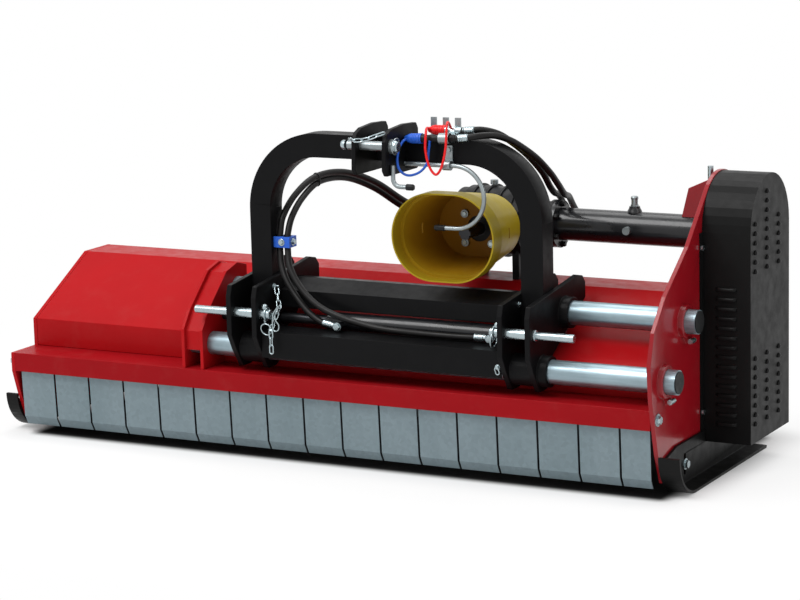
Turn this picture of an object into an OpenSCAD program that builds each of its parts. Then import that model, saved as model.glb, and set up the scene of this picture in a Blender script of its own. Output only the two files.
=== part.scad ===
// Side-shift flail mower for a tractor's three-point linkage, in millimetres.
// X runs along the rotor, Y runs from the tractor side to the rear, Z is up from the ground.

/* [Front flaps] */
// Number of hinged flaps along the front
flap_count = 17; // [9:1:21]
// Distance from one flap to the next
flap_pitch = 117.6; // [100:0.1:140]
// Gap between two flaps
flap_gap = 6; // [2:0.5:8]
// Thickness of a flap's sheet
flap_t = 4; // [3:0.5:6]
// Height of a flap's lower edge above the ground
flap_low_z = 25; // [15:1:60]
// Height of the bent-back strip at the foot of a flap
flap_toe_h = 25; // [10:1:40]
// How far the toe is bent back
flap_toe_d = 13; // [5:1:25]
// How far a flap leans back down to its toe
flap_lean_d = 8; // [0:1:20]
// Radius of the hinge rod
rod_r = 6; // [4:0.5:8]
// Wall of the knuckle round the hinge rod
knuckle_t = 3; // [2:0.5:5]

/* [Deck] */
// Gap between the flap row and the left side plate
left_margin = 10; // [4:1:20]
// How much narrower the last flap is
right_trim = 27; // [5:1:40]
// Thickness of the two side plates
side_t = 12; // [8:1:16]
// Thickness of the hood's sheet
hood_t = 6; // [4:0.5:8]
// Height of the front lip's lower edge
lip_z = 185; // [160:1:210]
// Height of the front lip
lip_h = 54; // [40:1:70]
// Depth of the ledge behind the lip
ledge_d = 140; // [132:1:160]
// Distance from the lip's face back to the hood's front wall
hood_y = 117; // [100:1:124]
// Height of the hood's upright front wall
hood_wall_h = 80; // [60:1:110]
// Depth of the hood's front slope
hood_slope_d = 276; // [240:1:310]
// Rise of the hood's front slope
hood_slope_h = 153; // [120:1:170]
// Depth of the hood's flat top
hood_top_d = 124; // [110:1:160]
// Depth of the hood's rear slope
hood_tail_d = 183; // [150:1:220]
// Drop of the hood's rear slope
hood_tail_h = 132; // [100:1:160]
// Height of the hood's upright rear skirt
hood_skirt_h = 105; // [60:1:140]
// Height of the side plates' lower edge
side_low_z = 36; // [30:1:46]
// How far the right side plate bulges ahead of the lip
side_nose_d = 23; // [10:1:40]

/* [Skids and roller] */
// How far the right skid's sole reaches out past its side plate
skid_w = 60; // [40:1:90]
// How far the left skid's sole reaches out past its side plate
left_skid_w = 40; // [30:1:60]
// Thickness of a skid
skid_t = 8; // [6:1:12]
// Distance from the lip's face back to a skid's tip
skid_tip_y = 20; // [0:1:50]
// Radius of a skid's curved nose
skid_nose_r = 112; // [80:1:140]
// Length of a skid's sole behind the nose
skid_len = 520; // [400:1:560]
// Height of a skid's upright web
skid_web_h = 118; // [80:1:140]
// Radius of the rear roller
roller_r = 70; // [50:1:90]
// Distance from the lip's face back to the roller's axis
roller_y = 800; // [770:1:860]
// Radius of the roller's stub shafts
roller_pin_r = 20; // [12:1:25]
// Thickness of a roller arm
arm_t = 10; // [8:1:14]

/* [Rotor] */
// Distance from the lip's face back to the rotor's axis
rotor_y = 473; // [450:1:490]
// Height of the rotor's axis
rotor_z = 225; // [210:1:240]
// Radius of the rotor's tube
rotor_r = 65; // [50:1:80]
// Wall of the rotor's tube
rotor_wall = 8; // [5:1:12]
// Radius of the rotor's stub shafts
rotor_pin_r = 25; // [18:1:30]
// Gap between the rotor's tube and each side plate
rotor_end_gap = 20; // [10:1:40]
// Number of flails on the rotor
flail_count = 18; // [8:1:24]
// Turn from one flail to the next, in degrees
flail_turn = 100; // [60:5:120]
// Radius from the rotor's axis to a flail's bolt
flail_bolt_orbit = 98; // [92:1:110]
// Radius of a flail's bolt
flail_bolt_r = 8; // [6:0.5:10]
// Radius from the rotor's axis to a flail's cutting edge
flail_tip_orbit = 185; // [160:1:190]
// Width of a flail's blade
flail_w = 74; // [50:1:90]
// Thickness of a flail's blade
flail_t = 12; // [8:1:16]
// Gap between the two lugs that hold a flail
lug_gap = 40; // [30:1:60]
// Thickness of a lug
lug_t = 8; // [6:1:12]

/* [Belt drive] */
// Radius of the upper pulley
drive_pulley_r = 115; // [100:1:120]
// Radius of the rotor's pulley
rotor_pulley_r = 90; // [70:1:105]
// Number of belts
belt_count = 4; // [2:1:4]
// Width of a belt
belt_w = 12; // [8:0.5:13]
// Thickness of a belt
belt_t = 9; // [6:0.5:10]
// Distance from one belt to the next
belt_pitch = 17; // [16:0.5:18]
// Gap between the side plate and the pulleys
pulley_gap = 26; // [24:1:34]
// Depth of the belt cover
cover_w = 136; // [125:1:160]
// Radius of the belt cover's round top
cover_r = 144.5; // [135:0.5:160]
// Height of the belt cover's round top above the drive shaft
cover_rise = 25; // [10:1:40]
// Height of the belt cover's lower edge
cover_low_z = 87; // [70:1:110]
// Thickness of the belt cover's sheet
cover_t = 3; // [2:0.5:5]
// Number of louvres on the cover's front
louvre_count = 15; // [8:1:18]
// Rows of holes in each cluster on the cover's side
hole_rows = 8; // [3:1:8]
// Radius of a hole in the cover's side
hole_r = 6.5; // [3:0.5:8]

/* [Gearbox and drive line] */
// Place of the power shaft across the width
gear_x = 333; // [300:1:360]
// Height of the drive shaft
drive_z = 625; // [610:1:640]
// Radius of the gearbox's body
gearbox_r = 95; // [88:1:100]
// Width of the gearbox's body
gearbox_w = 180; // [170:1:200]
// Wall of the gearbox
gearbox_wall = 13; // [8:1:15]
// Radius of the gearbox's neck
neck_r = 62; // [50:1:66]
// Distance from the lip's face back to the gearbox's front flange
flange_y = 330; // [320:1:345]
// Radius of the tube round the drive shaft
tube_r = 45; // [38:1:50]
// Radius of the drive shaft
cross_r = 20; // [15:1:25]
// Radius of the splined power shaft
pto_r = 17.5; // [15:0.5:20]
// Length of the power shaft ahead of the flange
pto_len = 92; // [80:1:110]
// Number of splines on the power shaft
spline_count = 6; // [6:1:8]
// Radius of the bevel crown
crown_r = 60; // [50:1:62]
// Radius of the bevel pinion
pinion_r = 20; // [16:1:24]
// Height of the shaft guard's oval
guard_h = 240; // [200:1:250]
// Width of the shaft guard's oval
guard_w = 306; // [260:1:310]
// Height of the shaft guard's oval at its back
guard_back_h = 180; // [176:1:200]
// Depth of the wider collar at the guard's mouth
guard_collar = 46; // [30:1:60]
// Distance from the lip's face back to the guard's mouth
guard_mouth_y = 104; // [100:1:140]
// Thickness of the guard's wall
guard_t = 4; // [3:0.5:6]

/* [Slide bars and carriage] */
// Radius of the two slide bars
bar_r = 32.5; // [25:0.5:36]
// Wall of the slide bars
bar_wall = 8; // [5:1:10]
// Distance from the lip's face back to the upper bar
upper_bar_y = 200; // [190:1:210]
// Height of the upper bar
upper_bar_z = 437; // [432:1:450]
// Distance from the lip's face back to the lower bar
lower_bar_y = 60; // [54:1:64]
// Height of the lower bar
lower_bar_z = 305; // [298:1:310]
// How far the bars stand out past the right side plate
bar_out = 43; // [30:1:60]
// Place of the carriage's middle across the width
carriage_x = 185.5; // [170:0.5:200]
// Distance between the two lower linkage points
hitch_spread = 825; // [815:1:830]
// Thickness of a hitch plate
hitch_t = 15; // [12:1:18]
// Wall of the sleeves that run on the bars
sleeve_t = 9.5; // [6:0.5:11]
// How far the sleeves stand out on the right
sleeve_out = 25; // [10:1:30]
// Thickness of the carriage's folded beams
beam_t = 6; // [4:0.5:8]
// Side of the arch's square tube
arch_side = 65; // [50:1:65]
// Wall of the arch's square tube
arch_wall = 6; // [4:1:8]
// Height of the arch's top
arch_top_z = 900; // [860:1:940]
// Height of the arch's lower ends
arch_low_z = 412; // [408:1:430]
// Inner radius of the arch's bends
arch_bend_r = 150; // [120:1:180]
// Distance from the lip's face back to the arch
arch_y = 100; // [98:1:104]

/* [Linkage pins] */
// Radius of the lower pins between the plates
link_pin_r = 14; // [11:0.5:15]
// Radius of the lower pins' outer ends
link_stub_r = 11; // [9:0.5:11]
// Length of the lower pins' outer ends
link_stub_len = 113; // [90:1:116]
// Length of the lower pins' inner ends
link_tail_len = 28; // [24:1:40]
// Distance from the lip's face back to the lower pins
link_pin_y = 8; // [4:1:12]
// Height of the lower pins
link_pin_z = 410; // [405:1:420]
// Radius of the top pin
top_pin_r = 12.5; // [9:0.5:14]
// Gap between the two top ears
ear_gap = 79; // [60:1:90]
// Thickness of a top ear
ear_t = 12; // [10:1:16]
// Depth of a top ear
ear_d = 190; // [180:1:200]
// Height of a top ear
ear_h = 128; // [120:1:140]

/* [Side-shift cylinder] */
// Radius of the cylinder's barrel
barrel_r = 26; // [22:0.5:27]
// Wall of the barrel
barrel_wall = 5; // [4:0.5:6]
// Radius of the piston rod
piston_rod_r = 15; // [10:0.5:17]
// Distance from the lip's face back to the cylinder
cylinder_y = 128; // [126:1:132]
// Height of the cylinder
cylinder_z = 378; // [376:1:382]
// Length of the barrel
barrel_len = 530; // [500:1:560]

/* [Hoses and hook] */
// Radius of a hydraulic hose
hose_r = 9; // [7:0.5:9]
// Radius of a hose coupler's cap
cap_r = 14; // [10:0.5:15]
// Length of a hose coupler's cap
cap_len = 46; // [35:1:52]
// Length of the red coupler with its cap
red_len = 99; // [90:1:105]
// Length of the blue coupler with its cap
blue_len = 152; // [140:1:156]
// Radius of the hook's rod
hook_r = 6; // [4:0.5:7]
// Radius of the hook's bend
hook_bend_r = 84; // [70:1:86]

/* [Hidden] */
$fn = 48;
// Running clearance between a shaft and its bore
run_fit = 0.08;
// Clearance between pieces that are bolted together
seat_fit = 0.1;
// Clearance between a belt and its groove
belt_fit = 0.3;
// Overrun of a cut past the face that it opens
over = 1;

// Places across the width
row_w = flap_count * flap_pitch;
row_x0 = -row_w / 2;
left_in_x = row_x0 - left_margin;
left_out_x = left_in_x - side_t;
right_in_x = row_x0 + row_w - right_trim;
right_out_x = right_in_x + side_t;
cover_out_x = right_out_x + cover_w;

// Heights and depths of the deck's section
lip_top_z = lip_z + lip_h;
hood_wall_z = lip_top_z + hood_wall_h;
hood_top_z = hood_wall_z + hood_slope_h;
hood_crest_y = hood_y + hood_slope_d;
hood_tail_y = hood_crest_y + hood_top_d;
hood_rear_y = hood_tail_y + hood_tail_d;
hood_rear_z = hood_top_z - hood_tail_h;
hood_path = [
    [hood_y, lip_top_z],
    [hood_y, hood_wall_z],
    [hood_crest_y, hood_top_z],
    [hood_tail_y, hood_top_z],
    [hood_rear_y, hood_rear_z],
    [hood_rear_y, hood_rear_z - hood_skirt_h],
];
hood_slope = hood_slope_h / hood_slope_d;

// Hinge rod of the flaps, close behind the lip
knuckle_r = rod_r + knuckle_t;
lip_gap = 5;
rod_y = hood_t + lip_gap + knuckle_r;
rod_z = lip_z + lip_h / 2;
retainer_r = 17;
ledge_flange_h = 30;

// Side plates
side_d = hood_rear_y + side_nose_d;
cover_cz = drive_z + cover_rise;
side_crown_r = cover_r + cover_t;
side_h = cover_cz + side_crown_r - side_low_z;
// Front edge of the right side plate, as shares of its depth and height
side_front_shares = [
    [0.107, 0], [0.093, 0.032], [0.061, 0.109], [0.011, 0.302], [0, 0.421], [0.037, 0.532],
    [0.143, 0.638], [0.358, 0.776],
];
side_front = [for (s = side_front_shares) [s[0] * side_d - side_nose_d, s[1] * side_h + side_low_z]];
crown_start_a = 138;
collar_r = 44;
collar_len = 14;
collar_lug_h = 20;
// Belt tension bracket near the top of the right side plate
tension_w = 100;
tension_top_w = 76;
tension_h = 95;
tension_rise = 34;
tension_d = 40;
tension_t = 5;
tension_screw_r = 8;
tension_screw_h = 60;
tension_screw_in = 20;
tension_screw_x = right_in_x - tension_screw_in;

// Bolts of the deck
bolt_r = 7;
bolt_head_r = 11;
bolt_head_h = 8;
bolt_washer_r = 15;
bolt_washer_t = 2.5;
cover_flange_d = 19;
cover_bolt_r = 4;
cover_bolt_head_r = 7.5;
cover_bolt_head_h = 6;
// Heights of the cover's bolts, as shares of the cover's height
cover_bolt_shares = [0.145, 0.93];
// Places of a skid's bolts, as shares of its sole's length
skid_bolt_shares = [0.1, 0.85];
skid_bolt_z = skid_web_h / 2;
skid_slot_h = 44;
cover_h = cover_cz - cover_low_z;
cover_front_y = rotor_y - cover_r;
cover_rear_y = rotor_y + cover_r;

// Rotor and roller
bearing_r = 55;
bearing_len = 22;
bearing_left_len = 34;
rotor_disc_t = 16;
lug_r = 20;
roller_wall = 6;
roller_disc_t = 12;
arm_w = 90;
arm_pin_r = 34;
// Places of a roller arm's foot on the side plate, as shares of the arm's reach
arm_foot_share = 1.05;

// Belt drive
pulley_x0 = right_out_x + pulley_gap;
pulley_w = belt_count * belt_pitch + belt_pitch / 4;
pulley_x1 = pulley_x0 + pulley_w;
shaft_end_x = pulley_x1 + belt_w;
groove_d = belt_t + belt_fit;
louvre_w = 58;
louvre_h = 9;
// Span of the louvres, as shares of the cover's straight height
louvre_span_shares = [0.09, 0.735];
hole_pitch = 25.3;
hole_column = 87;
hole_back = 23;
// Lowest rows of the two clusters of holes, as shares of the cover's straight height
hole_cluster_shares = [0.09, 0.817];

// Gearbox and drive line
tube_neck = 80;
tube_x0 = gear_x + gearbox_w / 2 + tube_neck;
end_cover_t = 28;
end_cover_r = 88;
gear_cavity_r = gearbox_r - gearbox_wall;
gear_cavity_w = gearbox_w - 2 * gearbox_wall;
flange_r = 84;
flange_t = 13;
rib_t = 6;
rib_r = gearbox_r + rib_t;
// Places of the cooling ribs, as shares of the body's width
rib_shares = [0.15, 0.38, 0.62, 0.85];
foot_t = 20;
tube_flange_r = 66;
tube_flange_t = 12;
tube_wall = 12;
pto_tip_y = flange_y - pto_len;
pto_step = 2.5;
spline_len = 42;
spline_d = 3;
spline_w = 4;
gear_gap = 0.4;
crown_back_t = 16;
// Tooth width of the bevel gears, as a share of the pitch cone
tooth_share = 0.3;
guard_plate_hole_r = 36;
guard_bolt_spread = 80;
guard_step = 8;
guard_rise = 8;
guard_slot_w = 6;
guard_slot_h = 28;
guard_flat = guard_w - guard_h;
guard_step_y = guard_mouth_y + guard_collar;
// Place of the slots in the guard's sides, as a share of the way back from the mouth
guard_slot_share = 0.6;
plug_r = 11;
plug_h = 12;
breather_r = 9;
breather_h = 34;
// Places of the breather and the level plug, as shares of the tube's length
breather_share = 0.488;
level_share = 0.483;

// Carriage
pair_gap = arch_side;
left_pair_x = carriage_x - hitch_spread / 2;
right_pair_x = carriage_x + hitch_spread / 2;
pair_half = pair_gap / 2;
left_out_plate_x = left_pair_x - pair_half - hitch_t;
left_in_plate_x = left_pair_x + pair_half;
right_in_plate_x = right_pair_x - pair_half - hitch_t;
right_out_plate_x = right_pair_x + pair_half;
beam_x0 = left_in_plate_x + hitch_t;
beam_x1 = right_in_plate_x;
sleeve_r = bar_r + sleeve_t;
slide_fit = 0.1;
hitch_gap = 12;
// A hitch plate's edges measured from the pins and bars that it carries
hitch_nose = 28;
hitch_brow = 80;
hitch_peak_d = 135;
hitch_peak_h = 86;
hitch_foot = 53;
hitch_back_y = upper_bar_y + hitch_peak_d;
hitch_top_z = upper_bar_z + hitch_peak_h;
hitch_front_y = link_pin_y - hitch_nose;
hitch_low_z = lower_bar_z - hitch_foot;
hitch_side_y = hood_y - hitch_gap;
// Corners of a hitch plate, as shares of its depth and height where the bars don't set them
hitch_corner_shares = [[0, 0.36], [0, 0.76], [0.03, 0.87], [0.69, 0.97], [0.86, 1], [0.95, 0.975], [1, 0.9]];
hitch_d = hitch_back_y - hitch_front_y;
hitch_h = hitch_top_z - hitch_low_z;

function slope_z(y, gap) = hood_wall_z + (y - hood_y) * hood_slope + gap * norm([1, hood_slope]);

hitch_outline = concat(
    [for (s = hitch_corner_shares) [hitch_front_y + s[0] * hitch_d, hitch_low_z + s[1] * hitch_h]],
    [
        [hitch_back_y, slope_z(hitch_back_y, hitch_gap)],
        [hitch_side_y, slope_z(hitch_side_y, hitch_gap)],
        [hitch_side_y, lower_bar_z - sleeve_r],
        [lower_bar_y + sleeve_r / 2, hitch_low_z],
        [lower_bar_y - sleeve_r / 2, hitch_low_z],
        [lower_bar_y - sleeve_r - hitch_t, lower_bar_z],
    ]
);

// Folded beams over the bars
beam_gap = 42;
upper_beam_front_y = upper_bar_y - bar_r - beam_gap - beam_t;
upper_beam_low_z = cylinder_z + barrel_r + beam_t;
upper_beam_brow_z = upper_bar_z + bar_r * 2 / 3;
upper_beam_top_z = upper_bar_z + bar_r + 2 * beam_t;
upper_beam_back_y = upper_bar_y + bar_r + 3 * beam_t;
lower_beam_front_y = lower_bar_y - bar_r - 4 * beam_t;
lower_beam_top_z = lower_bar_z + bar_r + 4 * beam_t;
lower_beam_low_z = lower_bar_z - bar_r / 2;
lower_beam_back_y = lower_bar_y + bar_r + beam_t;

// Arch
arch_x0 = left_pair_x - pair_half;
arch_x1 = right_pair_x + pair_half;
arch_out_r = arch_bend_r + arch_side;
arch_rear_y = arch_y + arch_side;
arch_under_z = arch_top_z - arch_side;

// Top ears and their pin
ear_front_y = arch_rear_y - ear_d;
ear_low_z = arch_under_z - 2 * ear_t;
// Corners of a top ear, as shares of its depth and height
ear_shares = [
    [0.06, 0], [0, 0.12], [0.02, 0.72], [0.08, 0.88], [0.22, 0.96], [0.6, 1], [0.95, 0.97], [1, 0.86],
    [1, 0.04], [0.95, 0],
];
ear_outline = [for (s = ear_shares) [ear_front_y + s[0] * ear_d, ear_low_z + s[1] * ear_h]];
left_ear_x = carriage_x - ear_gap / 2 - ear_t;
right_ear_x = carriage_x + ear_gap / 2;
// Place of the top pin in its ear, as shares of the ear's depth and height
top_pin_shares = [0.19, 0.6];
top_pin_y = ear_front_y + top_pin_shares[0] * ear_d;
top_pin_z = ear_low_z + top_pin_shares[1] * ear_h;
top_pin_out = 26;
top_pin_head_r = 20;
top_pin_head_t = 9;

// Pin retainers
ring_r = 2.5;
link_wire_r = 1.8;
link_end_r = 5.5;
link_straight = 14;
link_pitch = link_straight + 2 * link_end_r - 2 * link_wire_r - run_fit;

chain_bolt_r = 6;
chain_bolt_h = 16;
chain_back = 73;
chain_rise = 65;
chain_y = link_pin_y + chain_back;
chain_top_z = link_pin_z + chain_rise;
// Legs of the chains: the links in each, and the shares of its run across, back and up
left_chain_shares = [[3, [0.374, -0.452, -0.81]], [4, [0.144, -0.814, -0.563]], [3, [0, 0, -1]]];
right_chain_shares = [[4, [0, 0, -1]]];

// Left bracket of the bars
bracket_w = 70;
rib_wall = 10;
bracket_gap = 95;
bracket_x1 = left_out_plate_x - bracket_gap;
bracket_x0 = bracket_x1 - bracket_w;
bracket_front_y = 4;
bracket_back_y = upper_bar_y + bar_r + 2 * rib_wall;
bracket_top_z = upper_bar_z + bar_r + 4 * rib_wall;
bracket_d = bracket_back_y - bracket_front_y;
bracket_h = bracket_top_z - lip_top_z;
// Front edge of a bracket rib, as shares of its depth and height
bracket_shares = [[0, 0], [0, 0.41], [0.15, 0.6], [0.56, 0.94], [0.8, 1], [1, 0.95]];
bracket_front = [for (s = bracket_shares) [bracket_front_y + s[0] * bracket_d, lip_top_z + s[1] * bracket_h]];
// The sheet between the ribs is set back and starts above an open pocket
spine_set = 12;
spine_low_share = 0.19;
bar_x0 = bracket_x0;
bar_x1 = right_out_x + bar_out;
bar_cap_t = 2.5;
bar_cap_set = 3;

// Side-shift cylinder
barrel_x0 = beam_x0 + (beam_x1 - beam_x0 - barrel_len) * 3 / 4;
barrel_x1 = barrel_x0 + barrel_len;
barrel_cap_t = 18;
piston_x = (barrel_x0 + barrel_x1) / 2 + 2 * barrel_r;
piston_w = 34;
rod_nut_w = 20;
port_r = 11;
port_in = 56;
port_out = 12;
port_y = 64;
ferrule_r = 8;
ferrule_len = 24;

// Shaft hook on its strap
hook_gap = 2;
hook_eye_wall = 1;
hook_strap_off = 30;
strap_w = 22;
hook_y = arch_y - 2 * hook_r - hook_gap;
hook_z = arch_under_z - hook_gap;
hook_strap_x = gear_x + hook_strap_off;
hook_eye_r = 2 * hook_r + hook_eye_wall;
hook_bend_x = hook_strap_x + strap_w;
hook_tail = 40;
strap_t = 5;
strap_h = 52;
strap_bolt_r = 7;
strap_bolt_h = 6;
jay_x = right_ear_x + ear_t + hook_r;
jay_y = ear_front_y + 5 * hook_r;
jay_bend_r = 20;
jay_h = 28;
jay_len = 38;

// Couplers on their saddle over the arch
saddle_off = 48;
saddle_x0 = gear_x - saddle_off;
saddle_w = 88;
saddle_t = 6;
lug_w = 30;
tab_w = 16;
tab_t = 6;
tab_h = 52;
coupler_r = 12;
coupler_out = 12;
red_y = arch_y + arch_side / 2;
red_z = arch_top_z + saddle_t + cap_r;
red_x = saddle_x0 + saddle_w + coupler_out;
blue_tilt = 2;
blue_gap = 1;
blue_y = arch_y - cap_r - blue_gap;
blue_x = red_x + coupler_out / 2;
blue_z = arch_top_z + saddle_t;
blue_ring_wall = 2;
blue_ring_x = saddle_x0 + saddle_w - blue_x;
strap_r = 3.5;
strap_span = 100;
// Shapes of the straps that hold the couplers' caps, as shares of a span off the line from cap to hose
red_strap_shares = [
    [0.06, -0.105, 0.04], [0.064, -0.325, 0.09], [0.078, -0.545, 0.08], [0.062, -0.685, -0.08],
    [-0.014, -0.705, -0.4], [-0.03, -0.705, -0.72], [0.014, -0.705, -0.98], [0.088, -0.705, -1.09],
    [0.152, -0.705, -0.96], [0.186, -0.705, -0.7], [0.19, -0.705, -0.38], [0.154, -0.705, -0.05],
    [0.068, -0.625, 0.19], [-0.058, -0.465, 0.27], [-0.184, -0.265, 0.23], [-0.29, -0.085, 0.08],
];
blue_strap_shares = [
    [0.07, -0.07, -0.007], [-0.11, -0.27, -0.067], [-0.28, -0.47, -0.248], [-0.44, -0.6, -0.518],
    [-0.54, -0.6, -0.789], [-0.541, -0.45, -0.948], [-0.473, -0.27, -0.889], [-0.485, -0.12, -0.679],
    [-0.598, -0.11, -0.37], [-0.75, -0.05, -0.05],
];
function strap_route(shares, cap, hose) = [for (i = [0:len(shares) - 1])
    let (t = i / (len(shares) - 1)) cap + t * (hose - cap) + strap_span * shares[i]];
red_end = [red_x, red_y, red_z];
red_cap_end = red_end - [red_len, 0, 0];
blue_end = [blue_x, blue_y, blue_z];
blue_cap_end = blue_end - blue_len * [cos(blue_tilt), 0, sin(blue_tilt)];

// Hose clamp on the left post
// Height of the clamp, as a share of the post's straight length
clamp_share = 0.66;
clamp_z = arch_low_z + clamp_share * (arch_top_z - arch_out_r - arch_low_z);
clamp_room = 4;
clamp_h = 30;
clamp_d = 40;
clamp_w = 50;

// Routes of the two hoses, from the cylinder to the couplers
hose_left_route = [
    [4, 75, 378], [-25, 76, 383], [-70, 80, 408], [-115, 90, 448], [-150, 100, 490], [-172, 114, 530],
    [-183, 127, 570],
    [-184, 130, 592], [-184, 133, 615], [-183, 150, 660], [-176, 210, 712], [-160, 300, 750],
    [-130, 410, 748],
    [-88, 510, 708], [-40, 590, 645], [20, 630, 605], [100, 655, 585], [200, 660, 580], [300, 660, 580],
    [380, 655, 581], [434, 637, 590], [466, 604, 612], [482, 568, 644], [490, 530, 680], [498, 488, 704],
    [508, 440, 717], [520, 385, 744], [524, 330, 790], [510, 264, 846], [487, 206, 890], [472, 180, 908],
    [455, 160, 918], [434, 145, 923], [411, 136, 922], [386, 133, 920],
];
hose_right_route = [
    [466, 75, 378], [420, 75, 376], [350, 75, 375], [250, 75, 376], [150, 76, 380], [70, 77, 393],
    [15, 80, 406],
    [-35, 84, 424], [-80, 90, 452], [-118, 98, 490], [-145, 110, 530], [-157, 125, 568], [-160, 130, 592],
    [-161, 135, 615], [-162, 163, 658], [-164, 230, 702], [-160, 318, 733], [-140, 428, 729],
    [-105, 527, 689],
    [-58, 606, 627], [0, 655, 580], [80, 680, 562], [180, 690, 556], [300, 690, 556], [400, 686, 560],
    [452, 674, 568], [487, 648, 586], [505, 613, 612], [512, 578, 641], [516, 542, 670], [523, 504, 697],
    [534, 464, 707], [546, 418, 721], [555, 365, 752], [556, 310, 793], [543, 252, 840], [515, 197, 882],
    [496, 163, 901], [479, 134, 911], [460, 113, 913], [439, 98, 911], [416, 88.5, 908], [391, 85, 906],
];
hose_sides = 10;
hose_steps = 2;
strap_sides = 8;
strap_steps = 2;

// Middle of the whole machine, which becomes the origin
origin_x = (left_out_x - left_skid_w + cover_out_x) / 2;
origin_y = (roller_y + roller_r - max(side_nose_d, -ear_front_y)) / 2;

function flap_name(i) = str("flap_", i < 9 ? "0" : "", i + 1);

// Functions for outlines and sweeps
function unit(v) = v / norm(v);
function side_of(a, b) = let (d = unit(b - a)) [-d[1], d[0]];
function mitre(p, i, t) =
    i == 0 ? p[0] + t * side_of(p[0], p[1])
    : i == len(p) - 1 ? p[i] + t * side_of(p[i - 1], p[i])
    : let (n = side_of(p[i - 1], p[i]), m = unit(n + side_of(p[i], p[i + 1]))) p[i] + m * t / (m * n);
// Outline of a bent sheet of thickness t on the left of path p, or on its right where t is negative
function sheet(p, t) = concat(p, [for (i = [len(p) - 1:-1:0]) mitre(p, i, t)]);
function arc(c, r, a0, a1, n) = [for (i = [0:n]) c + r * [cos(a0 + (a1 - a0) * i / n), sin(a0 + (a1 - a0) * i / n)]];
// Smooth points through the route p, a few to each stretch
function spline_at(a, b, c, d, t) =
    0.5 * (2 * b + (c - a) * t + (2 * a - 5 * b + 4 * c - d) * t ^ 2 + (3 * b - a - 3 * c + d) * t ^ 3);
function smooth(p, n) = concat(
    [for (i = [0:len(p) - 2], k = [0:n - 1])
        spline_at(p[max(i - 1, 0)], p[i], p[i + 1], p[min(i + 2, len(p) - 1)], k / n)],
    [p[len(p) - 1]]
);
function heading(p, i) = unit(p[min(i + 1, len(p) - 1)] - p[max(i - 1, 0)]);
// A direction square to d that stays near the last one, so that the tube doesn't twist
function carry(v, d) = unit(v - (v * d) * d);
function frames(p, i, v) = i == len(p) ? [] : let (w = carry(v, heading(p, i))) concat([w], frames(p, i + 1, w));

// One tube swept along the points p
module swept_tube(p, r, sides) {
    n = len(p);
    up = frames(p, 0, abs(heading(p, 0)[2]) < 0.9 ? [0, 0, 1] : [1, 0, 0]);
    rings = [for (i = [0:n - 1], k = [0:sides - 1])
        let (w = cross(heading(p, i), up[i]), a = 360 * k / sides) p[i] + r * (cos(a) * up[i] + sin(a) * w)];
    skin = [for (i = [0:n - 2], k = [0:sides - 1], half = [0, 1])
        let (a = i * sides + k, b = i * sides + (k + 1) % sides)
            half == 0 ? [a, a + sides, b + sides] : [a, b + sides, b]];
    polyhedron(rings, concat(skin, [[for (k = [0:sides - 1]) k]], [[for (k = [sides - 1:-1:0]) (n - 1) * sides + k]]));
}

// The machine stands with its middle over the origin
module place() { translate([-origin_x, -origin_y, 0]) children(); }
// An outline in depth and height, drawn out across the width
module across(x0, x1) { translate([x0, 0, 0]) rotate([90, 0, 90]) linear_extrude(x1 - x0) children(); }
// An outline in width and height, drawn out in depth
module along(y0, y1) { translate([0, y1, 0]) rotate([90, 0, 0]) linear_extrude(y1 - y0) children(); }
module bar_x(x0, x1, y, z, r) { translate([x0, y, z]) rotate([0, 90, 0]) cylinder(h = x1 - x0, r = r); }
module bar_y(x, y0, y1, z, r) { translate([x, y0, z]) rotate([-90, 0, 0]) cylinder(h = y1 - y0, r = r); }
module bar_z(x, y, z0, z1, r) { translate([x, y, z0]) cylinder(h = z1 - z0, r = r); }
module hex_x(x0, x1, y, z, r) { translate([x0, y, z]) rotate([0, 90, 0]) cylinder(h = x1 - x0, r = r, $fn = 6); }
module block(p, q) { translate(p) cube(q - p); }
// A quarter or half ring of round rod in the plane of width and height
module rod_arc(c, y, r, bend_r, a0, turn) {
    translate([c[0], y, c[1]]) rotate([90, 0, 0]) rotate([0, 0, a0]) rotate_extrude(angle = turn)
        translate([bend_r, 0]) circle(r);
}

// Front flaps
function flap_x0(i) = row_x0 + i * flap_pitch + flap_gap / 2;
function flap_x1(i) = min(flap_x0(i) + flap_pitch - flap_gap, right_in_x - flap_gap);
flap_face_y = rod_y - knuckle_r;
flap_path = [
    [flap_face_y, rod_z],
    [flap_face_y + flap_lean_d, flap_low_z + flap_toe_h],
    [flap_face_y + flap_lean_d + flap_toe_d, flap_low_z],
];

module flap(i) color("#7d8c91") place() difference() {
    union() {
        across(flap_x0(i), flap_x1(i)) polygon(sheet(flap_path, flap_t));
        bar_x(flap_x0(i), flap_x1(i), rod_y, rod_z, knuckle_r);
    }
    bar_x(flap_x0(i) - over, flap_x1(i) + over, rod_y, rod_z, rod_r + run_fit);
}

module flap_rod() color("#b8c0c4") place() bar_x(left_out_x, right_out_x, rod_y, rod_z, rod_r);

// Deck
module hood() color("#c82024") place() across(left_in_x, right_in_x) polygon(sheet(hood_path, -hood_t));

module front_beam() color("#96191f") place() across(left_in_x, right_in_x) polygon(sheet([
    [0, lip_z],
    [0, lip_top_z],
    [ledge_d, lip_top_z],
    [ledge_d, lip_top_z - ledge_flange_h],
], -hood_t));

module skid_bolt_places() {
    for (s = skid_bolt_shares) translate([0, skid_tip_y + skid_nose_r + s * skid_len, skid_bolt_z]) children();
}
module cover_bolt_places() {
    for (s = cover_bolt_shares) translate([0, cover_front_y - cover_flange_d / 2, cover_low_z + s * cover_h]) children();
}

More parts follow.
